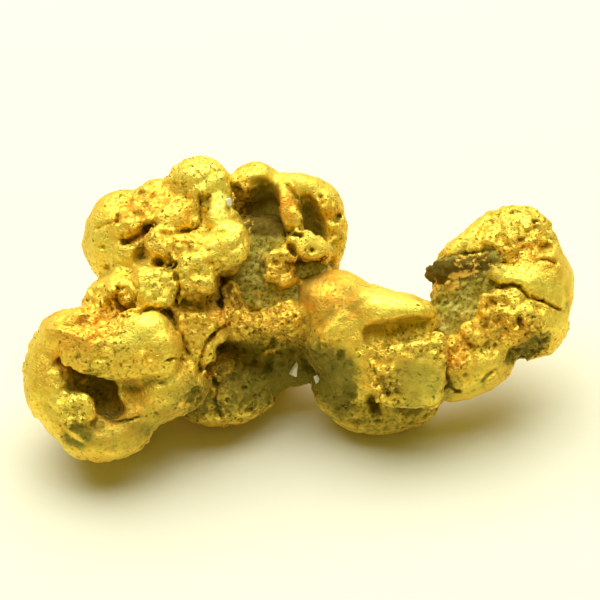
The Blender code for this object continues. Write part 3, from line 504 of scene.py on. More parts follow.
# Pits: place, half-sizes, turn and depth.
DENTS = (
    # Upper mass and neck
    Dent(-3.85, 4.0, 0.26, 0.22, 20, 0.4),  # eye under the knob
    Dent(-6.36, 4.2, 0.2, 0.14, 40, 0.3),
    Dent(-7.28, 3.24, 0.12, 0.18, 0, 0.35),
    Dent(-6.36, 1.72, 0.28, 0.3, 0, 0.6),  # hole beside the slab
    Dent(-7.88, 2.12, 0.1, 0.1, 0, 0.2),
    Dent(-7.68, 1.32, 0.1, 0.1, 0, 0.16),
    Dent(-4.96, 4.68, 0.08, 0.1, 0, 0.2),
    Dent(-5.12, 1.36, 0.18, 0.13, 0, 0.4),
    Dent(-5.6, 1.52, 0.18, 0.13, 0, 0.35),
    Dent(-7.0, 0.28, 0.22, 0.22, 0, 0.14),  # crater in the neck
    Dent(-3.6, 1.48, 0.14, 0.14, 0, 0.3),
    # Ring
    Dent(-0.32, 2.0, 0.15, 0.26, 20, 0.5),  # pits of the lobe under the pillar
    Dent(0.48, 2.0, 0.1, 0.13, 0, 0.3),
    Dent(1.52, 3.32, 0.12, 0.16, 0, 0.3),
    # Left lobe
    Dent(-8.8, -4.32, 0.22, 0.2, 20, 0.07),  # whorl on the hollow's knob
    # Mid lobe
    Dent(3.12, -3.4, 0.22, 0.14, 0, 0.3),
    Dent(3.52, -3.68, 0.13, 0.13, 0, 0.3),
    Dent(1.64, -2.2, 0.13, 0.2, 0, 0.25),
    Dent(2.0, -3.6, 0.26, 0.32, 0, 0.3),
    # Arm
    Dent(9.8, 2.08, 0.26, 0.22, -20, 0.45),  # largest pit of the arm
    Dent(7.36, 2.85, 0.14, 0.3, -30, 0.25),
    Dent(7.68, 3.1, 0.1, 0.1, 0, 0.2),
    Dent(8.52, 3.48, 0.08, 0.12, 0, 0.2),
    Dent(9.44, 3.12, 0.12, 0.07, 0, 0.2),
    Dent(9.12, 2.72, 0.17, 0.08, 0, 0.2),
    Dent(8.88, 2.4, 0.12, 0.08, 0, 0.2),
    Dent(8.2, 1.52, 0.1, 0.1, 0, 0.2),
    Dent(8.0, -0.88, 0.2, 0.24, 0, 0.4),  # pits in the bend of the arm
    Dent(8.15, -1.32, 0.18, 0.16, 0, 0.35),
    Dent(8.8, -0.88, 0.12, 0.26, 20, 0.35),
    Dent(7.88, -1.52, 0.16, 0.12, 0, 0.3),
    Dent(9.25, -1.95, 0.7, 0.32, 38, 0.12),  # pit under the elbow
    Dent(6.6, -3.0, 0.1, 0.1, 0, 0.12),
)

# How rough the skin is: below 0 where it is burnished, above 0 where it is crumbly.
ROUGH_ZONES = (
    Zone(1.4, 0.0, 1.7, 1.2, -25, -1.0),  # shoulder
    Zone(-10.2, -3.6, 0.8, 2.4, 0, -0.8),  # left lobe's side
    Zone(-7.6, -5.6, 2.0, 0.7, 8, -0.7),  # lower rim
    Zone(-5.8, -3.8, 1.6, 1.0, 10, -0.3),  # wall of the hollow
    Zone(-6.2, -1.12, 0.9, 0.6, 20, -0.8),  # boss on the lip
    Zone(-8.0, 2.0, 0.8, 1.6, 0, -0.4),  # outer lobe
    Zone(0.0, 4.8, 1.7, 0.5, -12, -0.7),  # arch
    Zone(-0.6, 3.8, 0.4, 1.1, 12, -0.6),  # pillar
    Zone(-3.0, 3.4, 0.6, 1.0, 14, -0.5),  # strap
    Zone(3.6, 0.0, 1.6, 0.6, -15, -0.6),  # crest
    Zone(4.8, -3.2, 0.9, 0.9, 0, -0.8),  # cheek
    Zone(9.2, 0.8, 1.5, 0.5, -12, -0.9),  # smooth band
    Zone(10.4, -0.4, 0.5, 1.6, 0, -0.8),  # arm's right side
    Zone(6.8, -3.2, 1.2, 0.8, 25, -0.6),  # arm's root
    Zone(-4.2, 5.0, 1.2, 0.9, 0, 0.3),  # knob
    Zone(-7.6, -2.2, 1.6, 0.6, -8, 0.15),  # lip
    Zone(-5.0, 0.8, 1.8, 1.0, 0, 0.2),  # blocks
    Zone(-7.6, -0.2, 1.0, 1.0, 0, 0.5),  # saddle
    Zone(-5.2, 2.2, 1.6, 0.7, -15, 0.35),  # slab
    Zone(-4.0, -1.0, 1.0, 1.0, 0, 0.1),  # wedge
    Zone(-1.6, -0.7, 1.8, 0.7, 5, 1.0),  # ledge
    Zone(-2.8, 0.0, 0.5, 0.9, 0, 1.0),  # post
    Zone(-2.3, 3.8, 0.5, 1.0, 0, 0.9),  # ring's left wall
    Zone(-0.8, 1.1, 0.8, 0.8, 0, 0.9),  # rough ledge
    Zone(-9.0, -4.0, 0.8, 1.0, 0, 0.45),  # knob in the hollow
    Zone(8.6, 2.4, 1.5, 1.2, 30, 0.5),  # end of the arm
    Zone(8.4, -0.8, 1.4, 1.1, 20, 0.9),  # bend of the arm
    Zone(6.2, -2.2, 0.7, 0.9, 20, 0.8),  # crease between cheek and arm
    Zone(3.2, -3.2, 0.8, 0.8, 0, 0.7),  # left of the cheek
    Zone(4.2, -2.0, 1.6, 0.35, 3, 0.8),  # lip
    Zone(-3.0, -3.8, 1.6, 1.2, 0, 0.5),  # belly
    Zone(-0.8, -2.4, 2.0, 0.8, 0, 0.5),  # cave
    Zone(1.5, -2.6, 1.0, 1.6, 0, -0.1),  # left leg and flank
    Zone(9.2, -1.95, 0.9, 0.45, 35, 1.2),  # pit under the elbow
)

# How lemon-bright the clean gold is: below 0 for orange, above 0 for lemon. The lemon zones are partly the
# gold's own tone and partly a painted highlight on the parts that the lamp lights most.
TONES_AND_HIGHLIGHTS = (
    Zone(1.2, 0.2, 1.7, 1.2, -25, -1.6),  # shoulder
    Zone(-8.6, -1.2, 1.7, 0.8, 10, -1.1),  # top of the left lobe
    Zone(-9.9, -3.0, 0.7, 2.0, 0, -0.5),  # left lobe's side
    Zone(-6.4, 3.9, 1.6, 0.6, 20, -0.7),  # outer lobe's shoulder
    Zone(-7.0, -5.4, 1.8, 0.8, 8, -0.5),  # lower rim
    Zone(-6.7, -4.0, 0.6, 0.4, 0, -0.7),  # wall of the hollow
    Zone(-0.6, 3.8, 0.4, 1.0, 12, -1.4),  # pillar
    Zone(-5.0, 2.2, 1.0, 0.4, -15, -0.4),  # slab
    Zone(7.0, -1.3, 0.6, 0.5, 0, -0.8),  # round knob
    Zone(-4.0, -0.9, 0.9, 0.6, -20, -0.6),  # wedge
    Zone(5.6, 0.6, 0.5, 0.4, 0, -0.8),  # streaks in the notch
    # Painted highlight, in part: lemon on the lit boss, knob, strap, blocks, crest, band and arm.
    Zone(-6.3, -1.1, 1.0, 0.6, 20, 1.0),  # boss on the lip
    Zone(-3.2, 4.0, 0.8, 2.0, 12, 1.0),  # knob's flank and strap
    Zone(-4.2, 5.0, 1.3, 0.9, 0, 0.8),  # knob
    Zone(-4.0, 1.4, 1.6, 0.7, 10, 0.9),  # brow and right block
    Zone(-5.6, 0.6, 0.9, 0.7, 0, 1.2),  # left block
    Zone(4.0, 0.0, 1.8, 0.6, -12, 1.0),  # crest
    Zone(4.6, -1.95, 1.4, 0.3, 2, 0.9),  # lip under the slot
    Zone(9.0, 0.8, 1.4, 0.5, -12, 0.9),  # smooth band
    Zone(8.6, 3.2, 1.0, 0.6, 0, 0.7),  # end of the arm
    Zone(0.3, 2.2, 0.9, 0.5, -20, 0.7),  # lobe under the pillar
    Zone(8.8, -0.2, 0.8, 0.6, -20, 0.6),  # bend of the arm
    Zone(-9.1, -4.1, 0.8, 0.8, 0, 1.6),  # knob in the hollow
)

# Films of iron stain and rock dust, and painted shade: above 0 where they lie or where shade is painted
# darker; below 0 for painted glints, where the gold is clean.
STAINS_SHADE_AND_GLINTS = (
    Zone(5.5, 1.3, 0.45, 0.4, 0, 1.0),  # spur
    Zone(6.6, 1.4, 1.2, 0.5, 12, 0.8),  # brown ledge over the notch
    Zone(7.8, 1.2, 0.5, 0.7, 0, 0.7),  # right wall of the notch
    Zone(-9.0, -5.4, 0.6, 0.5, -35, 0.8),  # greenish scales
    # Dust and painted shade in the hollows, the cave and the pits.
    Zone(-1.5, 3.7, 0.8, 1.0, 10, 0.8),  # ring's left hollow
    Zone(0.4, 3.0, 0.4, 1.0, 24, 0.7),  # ring's right hollow
    Zone(-0.8, -2.4, 2.2, 0.8, 0, 0.8),  # cave
    Zone(-2.8, 0.2, 0.9, 0.4, 0, 0.5),  # recess under the brow
    Zone(-8.0, -3.3, 1.1, 0.8, -15, 0.5),  # left lobe's hollow
    Zone(9.2, -1.9, 0.8, 0.4, 35, 0.9),  # pit under the elbow
    # Painted shade, darkening the leg, slot, belly, foot, cheek, shoulder, crest, rims, wall and arm.
    Zone(1.6, -3.4, 0.7, 1.2, 0, 0.5),  # left leg
    Zone(4.0, -1.2, 1.5, 0.55, 5, 0.2),  # slot
    Zone(-3.3, -3.9, 1.8, 1.1, 0, 0.85),  # belly
    Zone(1.1, -2.8, 1.3, 1.4, 0, 0.45),  # between the cave and the leg
    Zone(-0.8, -3.4, 1.6, 1.0, 0, 0.9),  # between the belly and the leg
    Zone(1.6, -3.6, 0.9, 1.3, 0, 0.5),  # left leg's foot
    Zone(3.6, -4.8, 2.0, 0.7, 5, 0.8),  # foot
    Zone(4.6, -3.2, 1.4, 1.0, 0, 0.7),  # cheek
    Zone(1.3, 0.1, 1.6, 1.1, -25, 0.6),  # shoulder
    Zone(3.8, 0.1, 1.8, 0.6, -12, 0.3),  # crest
    Zone(-7.0, -5.4, 2.2, 0.8, 8, 0.75),  # lower rim
    Zone(-5.6, -3.9, 1.4, 1.1, 0, 0.3),  # wall of the hollow
    Zone(7.2, -3.2, 1.8, 0.8, 25, 0.5),  # arm's root
    Zone(9.4, -1.9, 1.2, 0.8, 35, 0.35),  # under the elbow
    # Painted shade along the silhouette's edges.
    Zone(-10.95, -3.2, 0.35, 2.0, 0, 0.5),  # left lobe's edge
    Zone(-8.55, 2.2, 0.35, 1.6, 0, 0.5),  # outer lobe's edge
    Zone(1.6, 3.4, 0.3, 1.3, -10, 0.4),  # ring's edge
    Zone(10.9, 0.2, 0.4, 1.9, 0, 0.5),  # arm's edge
    # Painted glints: spots where the film is taken off, so the clean gold shows bright.
    Zone(-3.85, -3.05, 0.35, 0.12, 10, -1.2),  # glint on the belly
    Zone(-4.6, -4.2, 0.2, 0.1, 0, -1.0),  # glint on the belly
    Zone(-9.0, -5.45, 0.4, 0.09, -32, -1.3),  # glint on the greenish scales
    Zone(-1.2, -2.1, 0.3, 0.1, 15, -0.8),  # glint in the cave
)


@dataclass(frozen=True)
class Face:
    """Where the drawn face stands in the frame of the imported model."""

    origin: Vector
    scale: float

    @classmethod
    def of_frame(cls) -> Face:
        """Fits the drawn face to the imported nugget's box.

        Returns:
            The face.
        """
        low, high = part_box("nugget")
        size = high - low
        origin = low + Vector([part * side for part, side in zip(ORIGIN_IN_BOX, size)])
        return cls(origin, size.x / DRAWN_BOX_LENGTH)

    def matrix(self) -> Matrix:
        """The matrix from drawn millimetres to the row frame in metres."""
        lie = Matrix.Rotation(math.radians(90 - LIE_ANGLE), 4, "X")
        return Matrix.Translation(self.origin) @ Matrix.Scale(self.scale, 4) @ lie


def linear(hex_colour: str) -> tuple:
    """Turns an sRGB hex colour into linear RGBA.

    Args:
        hex_colour: six hex digits.

    Returns:
        The four linear channels, alpha 1.
    """
    channels = [int(hex_colour[i:i + 2], 16) / 255 for i in (0, 2, 4)]
    return (*[c / 12.92 if c <= 0.04045 else ((c + 0.055) / 1.055) ** 2.4 for c in channels], 1.0)


@functools.cache
def ball(level: int) -> tuple:
    """The unit sphere's points and triangles.

    Args:
        level: how often the sphere's triangles are split.

    Returns:
        The points and the triangles, as arrays.
    """
    mesh = bpy.data.meshes.new("ball")
    bm = bmesh.new()
    bmesh.ops.create_icosphere(bm, subdivisions=level, radius=1.0)
    bm.to_mesh(mesh)
    bm.free()
    points = read_points(mesh)
    corners = np.empty(len(mesh.loops), np.int32)
    mesh.loops.foreach_get("vertex_index", corners)
    bpy.data.meshes.remove(mesh)
    return points, corners.reshape(-1, 3)


def read_points(mesh: bpy.types.Mesh) -> np.ndarray:
    """A mesh's points as an array.

    Args:
        mesh: the mesh.

    Returns:
        One row for each point.
    """
    points = np.empty(len(mesh.vertices) * 3, np.float32)
    mesh.vertices.foreach_get("co", points)
    return points.reshape(-1, 3).astype(float)


def write_points(mesh: bpy.types.Mesh, points: np.ndarray) -> None:
    """Moves a mesh's points to these places."""
    mesh.vertices.foreach_set("co", points.astype(np.float32).ravel())
    mesh.update()


def read_normals(mesh: bpy.types.Mesh) -> np.ndarray:
    """The normals of a mesh's points as an array.

    Args:
        mesh: the mesh.

    Returns:
        One row for each point, of length 1.
    """
    normals = np.empty(len(mesh.vertices) * 3, np.float32)
    mesh.vertex_normals.foreach_get("vector", normals)
    return normals.reshape(-1, 3).astype(float)


def add_object(name: str, mesh: bpy.types.Mesh) -> bpy.types.Object:
    """Puts a mesh in the scene.

    Args:
        name: the new object's name.
        mesh: its mesh.

    Returns:
        The new object.
    """
    obj = bpy.data.objects.new(name, mesh)
    bpy.context.scene.collection.objects.link(obj)
    return obj


def lump_level(lump: Lump) -> int:
    """How fine a lump's ball is: its triangles are about as long as a voxel."""
    return next(level for half, level in BALL_LEVELS if max(lump.half) > half)


def lumps_mesh(name: str, lumps: Sequence[Lump]) -> bpy.types.Mesh:
    """One mesh that holds these lumps, which still overlap.

    Args:
        name: the mesh's name.
        lumps: the lumps, in drawn millimetres.

    Returns:
        The new mesh.
    """
    all_points = []
    all_triangles = []
    count = 0
    for lump in lumps:
        points, triangles = ball(lump_level(lump))
        power = ROUND_POWER + BLOCK_POWER * lump.block
        reach = (np.abs(points) ** power).sum(1) ** (1 / power)
        turn = np.array(Euler([math.radians(a) for a in lump.turn]).to_matrix())
        all_points.append((points / reach[:, None] * lump.half) @ turn.T + lump.at)
        all_triangles.append(triangles + count)
        count += len(points)
    return mesh_of(name, np.concatenate(all_points), np.concatenate(all_triangles))


def mesh_of(name: str, points: np.ndarray, triangles: np.ndarray) -> bpy.types.Mesh:
    """A mesh of these points and triangles.

    Args:
        name: the mesh's name.
        points: one row for each point.
        triangles: the numbers of each triangle's points.

    Returns:
        The new mesh.
    """
    mesh = bpy.data.meshes.new(name)
    mesh.vertices.add(len(points))
    mesh.vertices.foreach_set("co", points.astype(np.float32).ravel())
    mesh.loops.add(triangles.size)
    mesh.loops.foreach_set("vertex_index", triangles.astype(np.int32).ravel())
    mesh.polygons.add(len(triangles))
    mesh.polygons.foreach_set("loop_start", np.arange(0, triangles.size, 3, dtype=np.int32))
    mesh.update(calc_edges=True)
    return mesh


def joined(first: bpy.types.Mesh, second: bpy.types.Mesh) -> bpy.types.Mesh:
    """Two meshes as one, still overlapping.

    Args:
        first: the mesh that gives the new one its name.
        second: the other mesh.

    Returns:
        The new mesh.
    """
    bm = bmesh.new()
    bm.from_mesh(first)
    bm.from_mesh(second)
    made = bpy.data.meshes.new(first.name)
    bm.to_mesh(made)
    bm.free()
    return made


def settle(obj: bpy.types.Object) -> None:
    """Applies an object's modifiers to its mesh.

    Args:
        obj: the object.
    """
    graph = bpy.context.evaluated_depsgraph_get()
    made = bpy.data.meshes.new_from_object(obj.evaluated_get(graph))
    obj.modifiers.clear()
    obj.data = made


def fuse(obj: bpy.types.Object, voxel: float) -> None:
    """Fuses overlapping bodies into one skin.

    Args:
        obj: the object that holds them.
        voxel: the side of the voxels that the skin is made from.
    """
    remesh = obj.modifiers.new("Fuse", "REMESH")
    remesh.mode = "VOXEL"
    remesh.voxel_size = voxel
    settle(obj)


def soften(obj: bpy.types.Object, repeats: int) -> None:
    """Rounds a skin's creases and edges.

    Args:
        obj: the object.
        repeats: how often each point moves half way to its neighbours.
    """
    smooth = obj.modifiers.new("Soften", "SMOOTH")
    smooth.factor = 0.5
    smooth.iterations = repeats
    settle(obj)


def carve(obj: bpy.types.Object, cutter: bpy.types.Object) -> None:
    """Cuts one solid out of another, and removes the cutter.

    Args:
        obj: the solid that is cut.
        cutter: the solid that is taken out of it.
    """
    cut = obj.modifiers.new("Carve", "BOOLEAN")
    cut.operation = "DIFFERENCE"
    cut.object = cutter
    settle(obj)
    bpy.data.objects.remove(cutter, do_unlink=True)


def thin_out(obj: bpy.types.Object, triangles: int) -> None:
    """Collapses the flattest stretches of a skin.

    Args:
        obj: the object.
        triangles: how many triangles are left, about.
    """
    mesh = obj.data
    mesh.calc_loop_triangles()
    collapse = obj.modifiers.new("Thin out", "DECIMATE")
    collapse.ratio = min(1.0, triangles / len(mesh.loop_triangles))
    settle(obj)


def tree_of(obj: bpy.types.Object) -> BVHTree:
    """The object's faces, ready to be met by lines."""
    return BVHTree.FromObject(obj, bpy.context.evaluated_depsgraph_get())


def seen(points: np.ndarray) -> np.ndarray:
    """Where the eye sees points of the face, on the plane through the face's origin."""
    return points[:, :2] * (EYE / (EYE - points[:, 2:3]))


def meet(tree: BVHTree, u: float, v: float) -> Vector | None:
    """The point of the skin that the eye sees at a place on the face.

    Args:
        tree: the skin.
        u: the place's distance right of the face's origin.
        v: its distance up.

    Returns:
        The point, or None where the eye sees past the skin.
    """
    eye = Vector((0, 0, EYE))
    return tree.ray_cast(eye, (Vector((u, v, 0)) - eye).normalized())[0]


def sample(points: np.ndarray, scale: float, kind: Callable = noise.noise) -> np.ndarray:
    """A noise at each point.

    Args:
        points: the points, in millimetres.
        scale: the length of the noise's waves in millimetres.
        kind: the noise, from a point to a number.

    Returns:
        The noise's values.
    """
    return np.array([kind(point) for point in (points / scale).tolist()])


def crumble(point: list) -> float:
    """Rounded grains with sharp gaps between them, from 0 in a gap to 1."""
    near = noise.voronoi(point)[0]
    return min(1.0, (near[1] - near[0]) * GRAIN_GAIN)


def craggy(point: list) -> float:
    """A broken surface of billows and creases.

    Args:
        point: the point, in lengths of the billows.

    Returns:
        The height, 1 at the top of a billow and about -1 at the least.
    """
    billow = abs(noise.noise(point))
    crease = abs(noise.noise([CREASE_RATE * c for c in point]))
    return 1.0 - BILLOW_HEIGHT * billow - CREASE_HEIGHT * crease


def chipped(point: list) -> float:
    """A hackly surface: each cell is a small plane with a tilt of its own.

    Args:
        point: the point, in lengths of the noise's waves.

    Returns:
        The height, about -1 to 1.
    """
    middle = noise.voronoi(point)[1][0]
    away = Vector(point) - middle
    return sum(noise.noise(middle * CELL_STEP + shift) * part for shift, part in zip(SHIFTS, away))


def warped(points: np.ndarray, scale: float, reach: float) -> np.ndarray:
    """Points moved about by a slow noise.

    Args:
        points: the points, in millimetres.
        scale: the length of the noise's waves in millimetres.
        reach: how far a point moves at most, about.

    Returns:
        The moved points.
    """
    return points + reach * np.stack([sample(points + np.array(shift), scale) for shift in SHIFTS], axis=1)


def in_zone(places: np.ndarray, zone: Zone | Dent) -> np.ndarray:
    """How far places are from the middle of an oval.

    Args:
        places: the places, as seen.
        zone: the oval.

    Returns:
        The distances, 0 in the middle and 1 on the rim.
    """
    turn = math.radians(zone.turn)
    right = (places[:, 0] - zone.u) * math.cos(turn) + (places[:, 1] - zone.v) * math.sin(turn)
    up = (places[:, 1] - zone.v) * math.cos(turn) - (places[:, 0] - zone.u) * math.sin(turn)
    return np.hypot(right / zone.half_u, up / zone.half_v)


def painted(places: np.ndarray, zones: tuple, shown: np.ndarray) -> np.ndarray:
    """The sum of zones at places of the skin, each fading out past its rim.

    Args:
        places: where the eye sees the skin's points.
        zones: the ovals with their strengths.
        shown: how much each point faces the eye, from 0 to 1.

    Returns:
        The strength at each place.
    """
    total = np.zeros(len(places))
    for zone in zones:
        reach = in_zone(places, zone)
        total += zone.strength * np.clip(ZONE_RIM - reach, 0, 1) ** ZONE_POWER * shown
    return total


def along(places: np.ndarray, line: tuple) -> tuple:
    """How far places are from a line of points, and how far along it their nearest points lie.

    Args:
        places: the places.
        line: the line's points.

    Returns:
        The distances, and the shares of the line's length.
    """
    points = np.array(line)
    steps = np.diff(points, axis=0)
    lengths = np.hypot(*steps.T)
    best = np.full(len(places), np.inf)
    share = np.zeros(len(places))
    run = 0.0
    for start, step, length in zip(points, steps, lengths):
        part = np.clip(((places - start) @ step) / length ** 2, 0, 1)
        away = np.hypot(*(places - start - part[:, None] * step).T)
        nearer = away < best
        best[nearer] = away[nearer]
        share[nearer] = (run + part[nearer] * length) / lengths.sum()
        run += length
    return best, share


class Skin:
    """A closed skin as arrays, in drawn millimetres, which noise and marks move."""

    def __init__(self, obj: bpy.types.Object) -> None:
        """Reads a mesh.

        Args:
            obj: the object, in drawn millimetres.
        """
        self.obj = obj
        self.points = read_points(obj.data)
        self.normals = read_normals(obj.data)

    def write(self) -> None:
        """Moves the mesh's points, and reads the new normals."""
        write_points(self.obj.data, self.points)
        self.normals = read_normals(self.obj.data)

    def push(self, amount: np.ndarray) -> None:
        """Moves the points outwards along their normals, by millimetres."""
        self.points += self.normals * amount[:, None]
        self.write()

    def shown(self) -> np.ndarray:
        """How open each point is to the eye.

        Returns:
            The shares, 0 where the skin hides a point or turns away and 1 where it faces the eye.
        """
        tree = tree_of(self.obj)
        eye = np.array([0.0, 0.0, EYE])
        ways = eye - self.points
        ways /= np.linalg.norm(ways, axis=1)[:, None]
        facing = np.clip((self.normals * ways).sum(1) * FACING_GAIN, 0, 1)
        starts = self.points + self.normals * SIGHT_LIFT
        for index in np.nonzero(facing > 0)[0]:
            if tree.ray_cast(Vector(starts[index]), Vector(ways[index]))[0] is not None:
                facing[index] = 0.0
        return facing

    def mark(self, stroke: Stroke, shown: np.ndarray) -> None:
        """Cuts or raises one stroke, mostly along the line of sight, with a wavy width and thin ends.

        Args:
            stroke: the stroke.
            shown: how open each point is to the eye.
        """
        places = seen(self.points)
        away, share = along(places, stroke.points)
        own = stroke.points[0][0]
        waver = np.array([noise.noise((part * STROKE_WAVES, own, 0)) for part in share.tolist()])
        near = away / (stroke.half_width * (1 + STROKE_WAVER * waver))
        taper = np.clip(np.minimum(share, 1 - share) * STROKE_TAPER + STROKE_END, 0, 1)
        if stroke.mark is Mark.CRACK:
            profile = np.clip(CRACK_RIM - near, 0, 1) ** CRACK_POWER
        else:
            # One soft wave, two half-widths wide on each side of the line.
            profile = np.cos(np.clip(near / 2, 0, 1) * math.pi / 2) ** 2
        sign = 1 if stroke.mark is Mark.RIDGE else -1
        amount = sign * stroke.depth * profile * taper * shown
        self.points[:, 2] += amount * SIGHT_SHARE
        self.points += self.normals * (amount * NORMAL_SHARE)[:, None]

    def dent(self, dent: Dent, shown: np.ndarray) -> None:
        """Presses one pit into the skin.

        Args:
            dent: the pit.
            shown: how open each point is to the eye.
        """
        reach = in_zone(seen(self.points), dent)
        profile = np.clip(DENT_RIM - reach, 0, 1) ** DENT_POWER
        self.points[:, 2] -= dent.depth * profile * shown


def neighbours_mean(edges: np.ndarray, values: np.ndarray) -> np.ndarray:
    """The mean of each point's neighbours.

    Args:
        edges: the pairs of joined points.
        values: one number, or one row of numbers, for each point.

    Returns:
        The means, in the form of the values.
    """
    count = len(values)
    first, second = edges.T
    number = np.bincount(first, minlength=count) + np.bincount(second, minlength=count)
    columns = values.reshape(count, -1).T
    sums = [
        np.bincount(first, column[second], count) + np.bincount(second, column[first], count)
        for column in columns
    ]
    return (np.array(sums) / np.maximum(number, 1)).T.reshape(values.shape)


def hollowness(obj: bpy.types.Object, repeats: int) -> np.ndarray:
    """How far each point lies below the smoothed skin, in millimetres.

    Args:
        obj: the object, in drawn millimetres.
        repeats: how often the skin is smoothed.

    Returns:
        The depths, negative on edges and peaks.
    """
    mesh = obj.data
    edges = np.empty(len(mesh.edges) * 2, np.int32)
    mesh.edges.foreach_get("vertices", edges)
    edges = edges.reshape(-1, 2)
    points = read_points(mesh)
    smooth = points.copy()
    for _ in range(repeats):
        smooth = 0.5 * smooth + 0.5 * neighbours_mean(edges, smooth)
    return ((smooth - points) * read_normals(mesh)).sum(1)


def shelter(obj: bpy.types.Object, rays: int, reach: float) -> np.ndarray:
    """How closed in each point of a skin is.

    Args:
        obj: the object, in drawn millimetres.
        rays: how many lines leave each point.
        reach: how far they look.

    Returns:
        The share of lines that meet the skin, from 0 in the open to 1.
    """
    tree = tree_of(obj)
    dice = random.Random(SHELTER_SEED)
    ways = [Vector([dice.gauss(0, 1) for _ in range(3)]).normalized() for _ in range(rays)]
    points = read_points(obj.data)
    normals = read_normals(obj.data)
    closed = np.zeros(len(points))
    for index, (point, normal) in enumerate(zip((points + SHELTER_LIFT * normals).tolist(), normals)):
        start = Vector(point)
        out = Vector(normal)
        for way in ways:
            line = (way + out * SHELTER_LEAN).normalized()
            if tree.ray_cast(start, line, reach)[0] is not None:
                closed[index] += 1
    return closed / rays


def add_attribute(obj: bpy.types.Object, name: str, values: np.ndarray) -> None:
    """Stores one number for each point of the mesh, for its material to read."""
    layer = obj.data.attributes.new(name, "FLOAT", "POINT")
    layer.data.foreach_set("value", values.astype(np.float32))


def add_node(tree: bpy.types.NodeTree, kind: str, settings: dict, inputs: dict) -> bpy.types.Node:
    """Adds a node to a material, with its settings and links.

    Args:
        tree: the material's node tree.
        kind: the node's type.
        settings: values by the name of a property.
        inputs: by the name or number of an input, a value or the output socket that feeds it.

    Returns:
        The new node.
    """
    node = tree.nodes.new(kind)
    for name, value in settings.items():
        setattr(node, name, value)
    for name, value in inputs.items():
        if isinstance(value, bpy.types.NodeSocket):
            tree.links.new(value, node.inputs[name])
        else:
            node.inputs[name].default_value = value
    return node


def weighted(tree: bpy.types.NodeTree, start: float, terms: tuple) -> bpy.types.NodeSocket:
    """A weighted sum in a material.

    Args:
        tree: the material's node tree.
        start: what the sum starts from.
        terms: output sockets with their weights.

    Returns:
        The socket that gives the sum.
    """
    total = start
    for value, weight in terms:
        inputs = {0: value, 1: weight, 2: total}
        total = add_node(tree, "ShaderNodeMath", {"operation": "MULTIPLY_ADD"}, inputs).outputs[0]
    return total


def per_metre(millimetres: float) -> float:
    """The texture scale that gives a pattern waves of this length."""
    return 1000 / millimetres


def new_finish(name: str) -> tuple:
    """Starts a material.

    Args:
        name: the material's name.

    Returns:
        The material, its node tree, its shader, and the socket that gives a point's place.
    """
    made = bpy.data.materials.new(name)
    made.use_nodes = True
    tree = made.node_tree
    where = add_node(tree, "ShaderNodeTexCoord", {}, {}).outputs["Object"]
    return made, tree, tree.nodes["Principled BSDF"], where


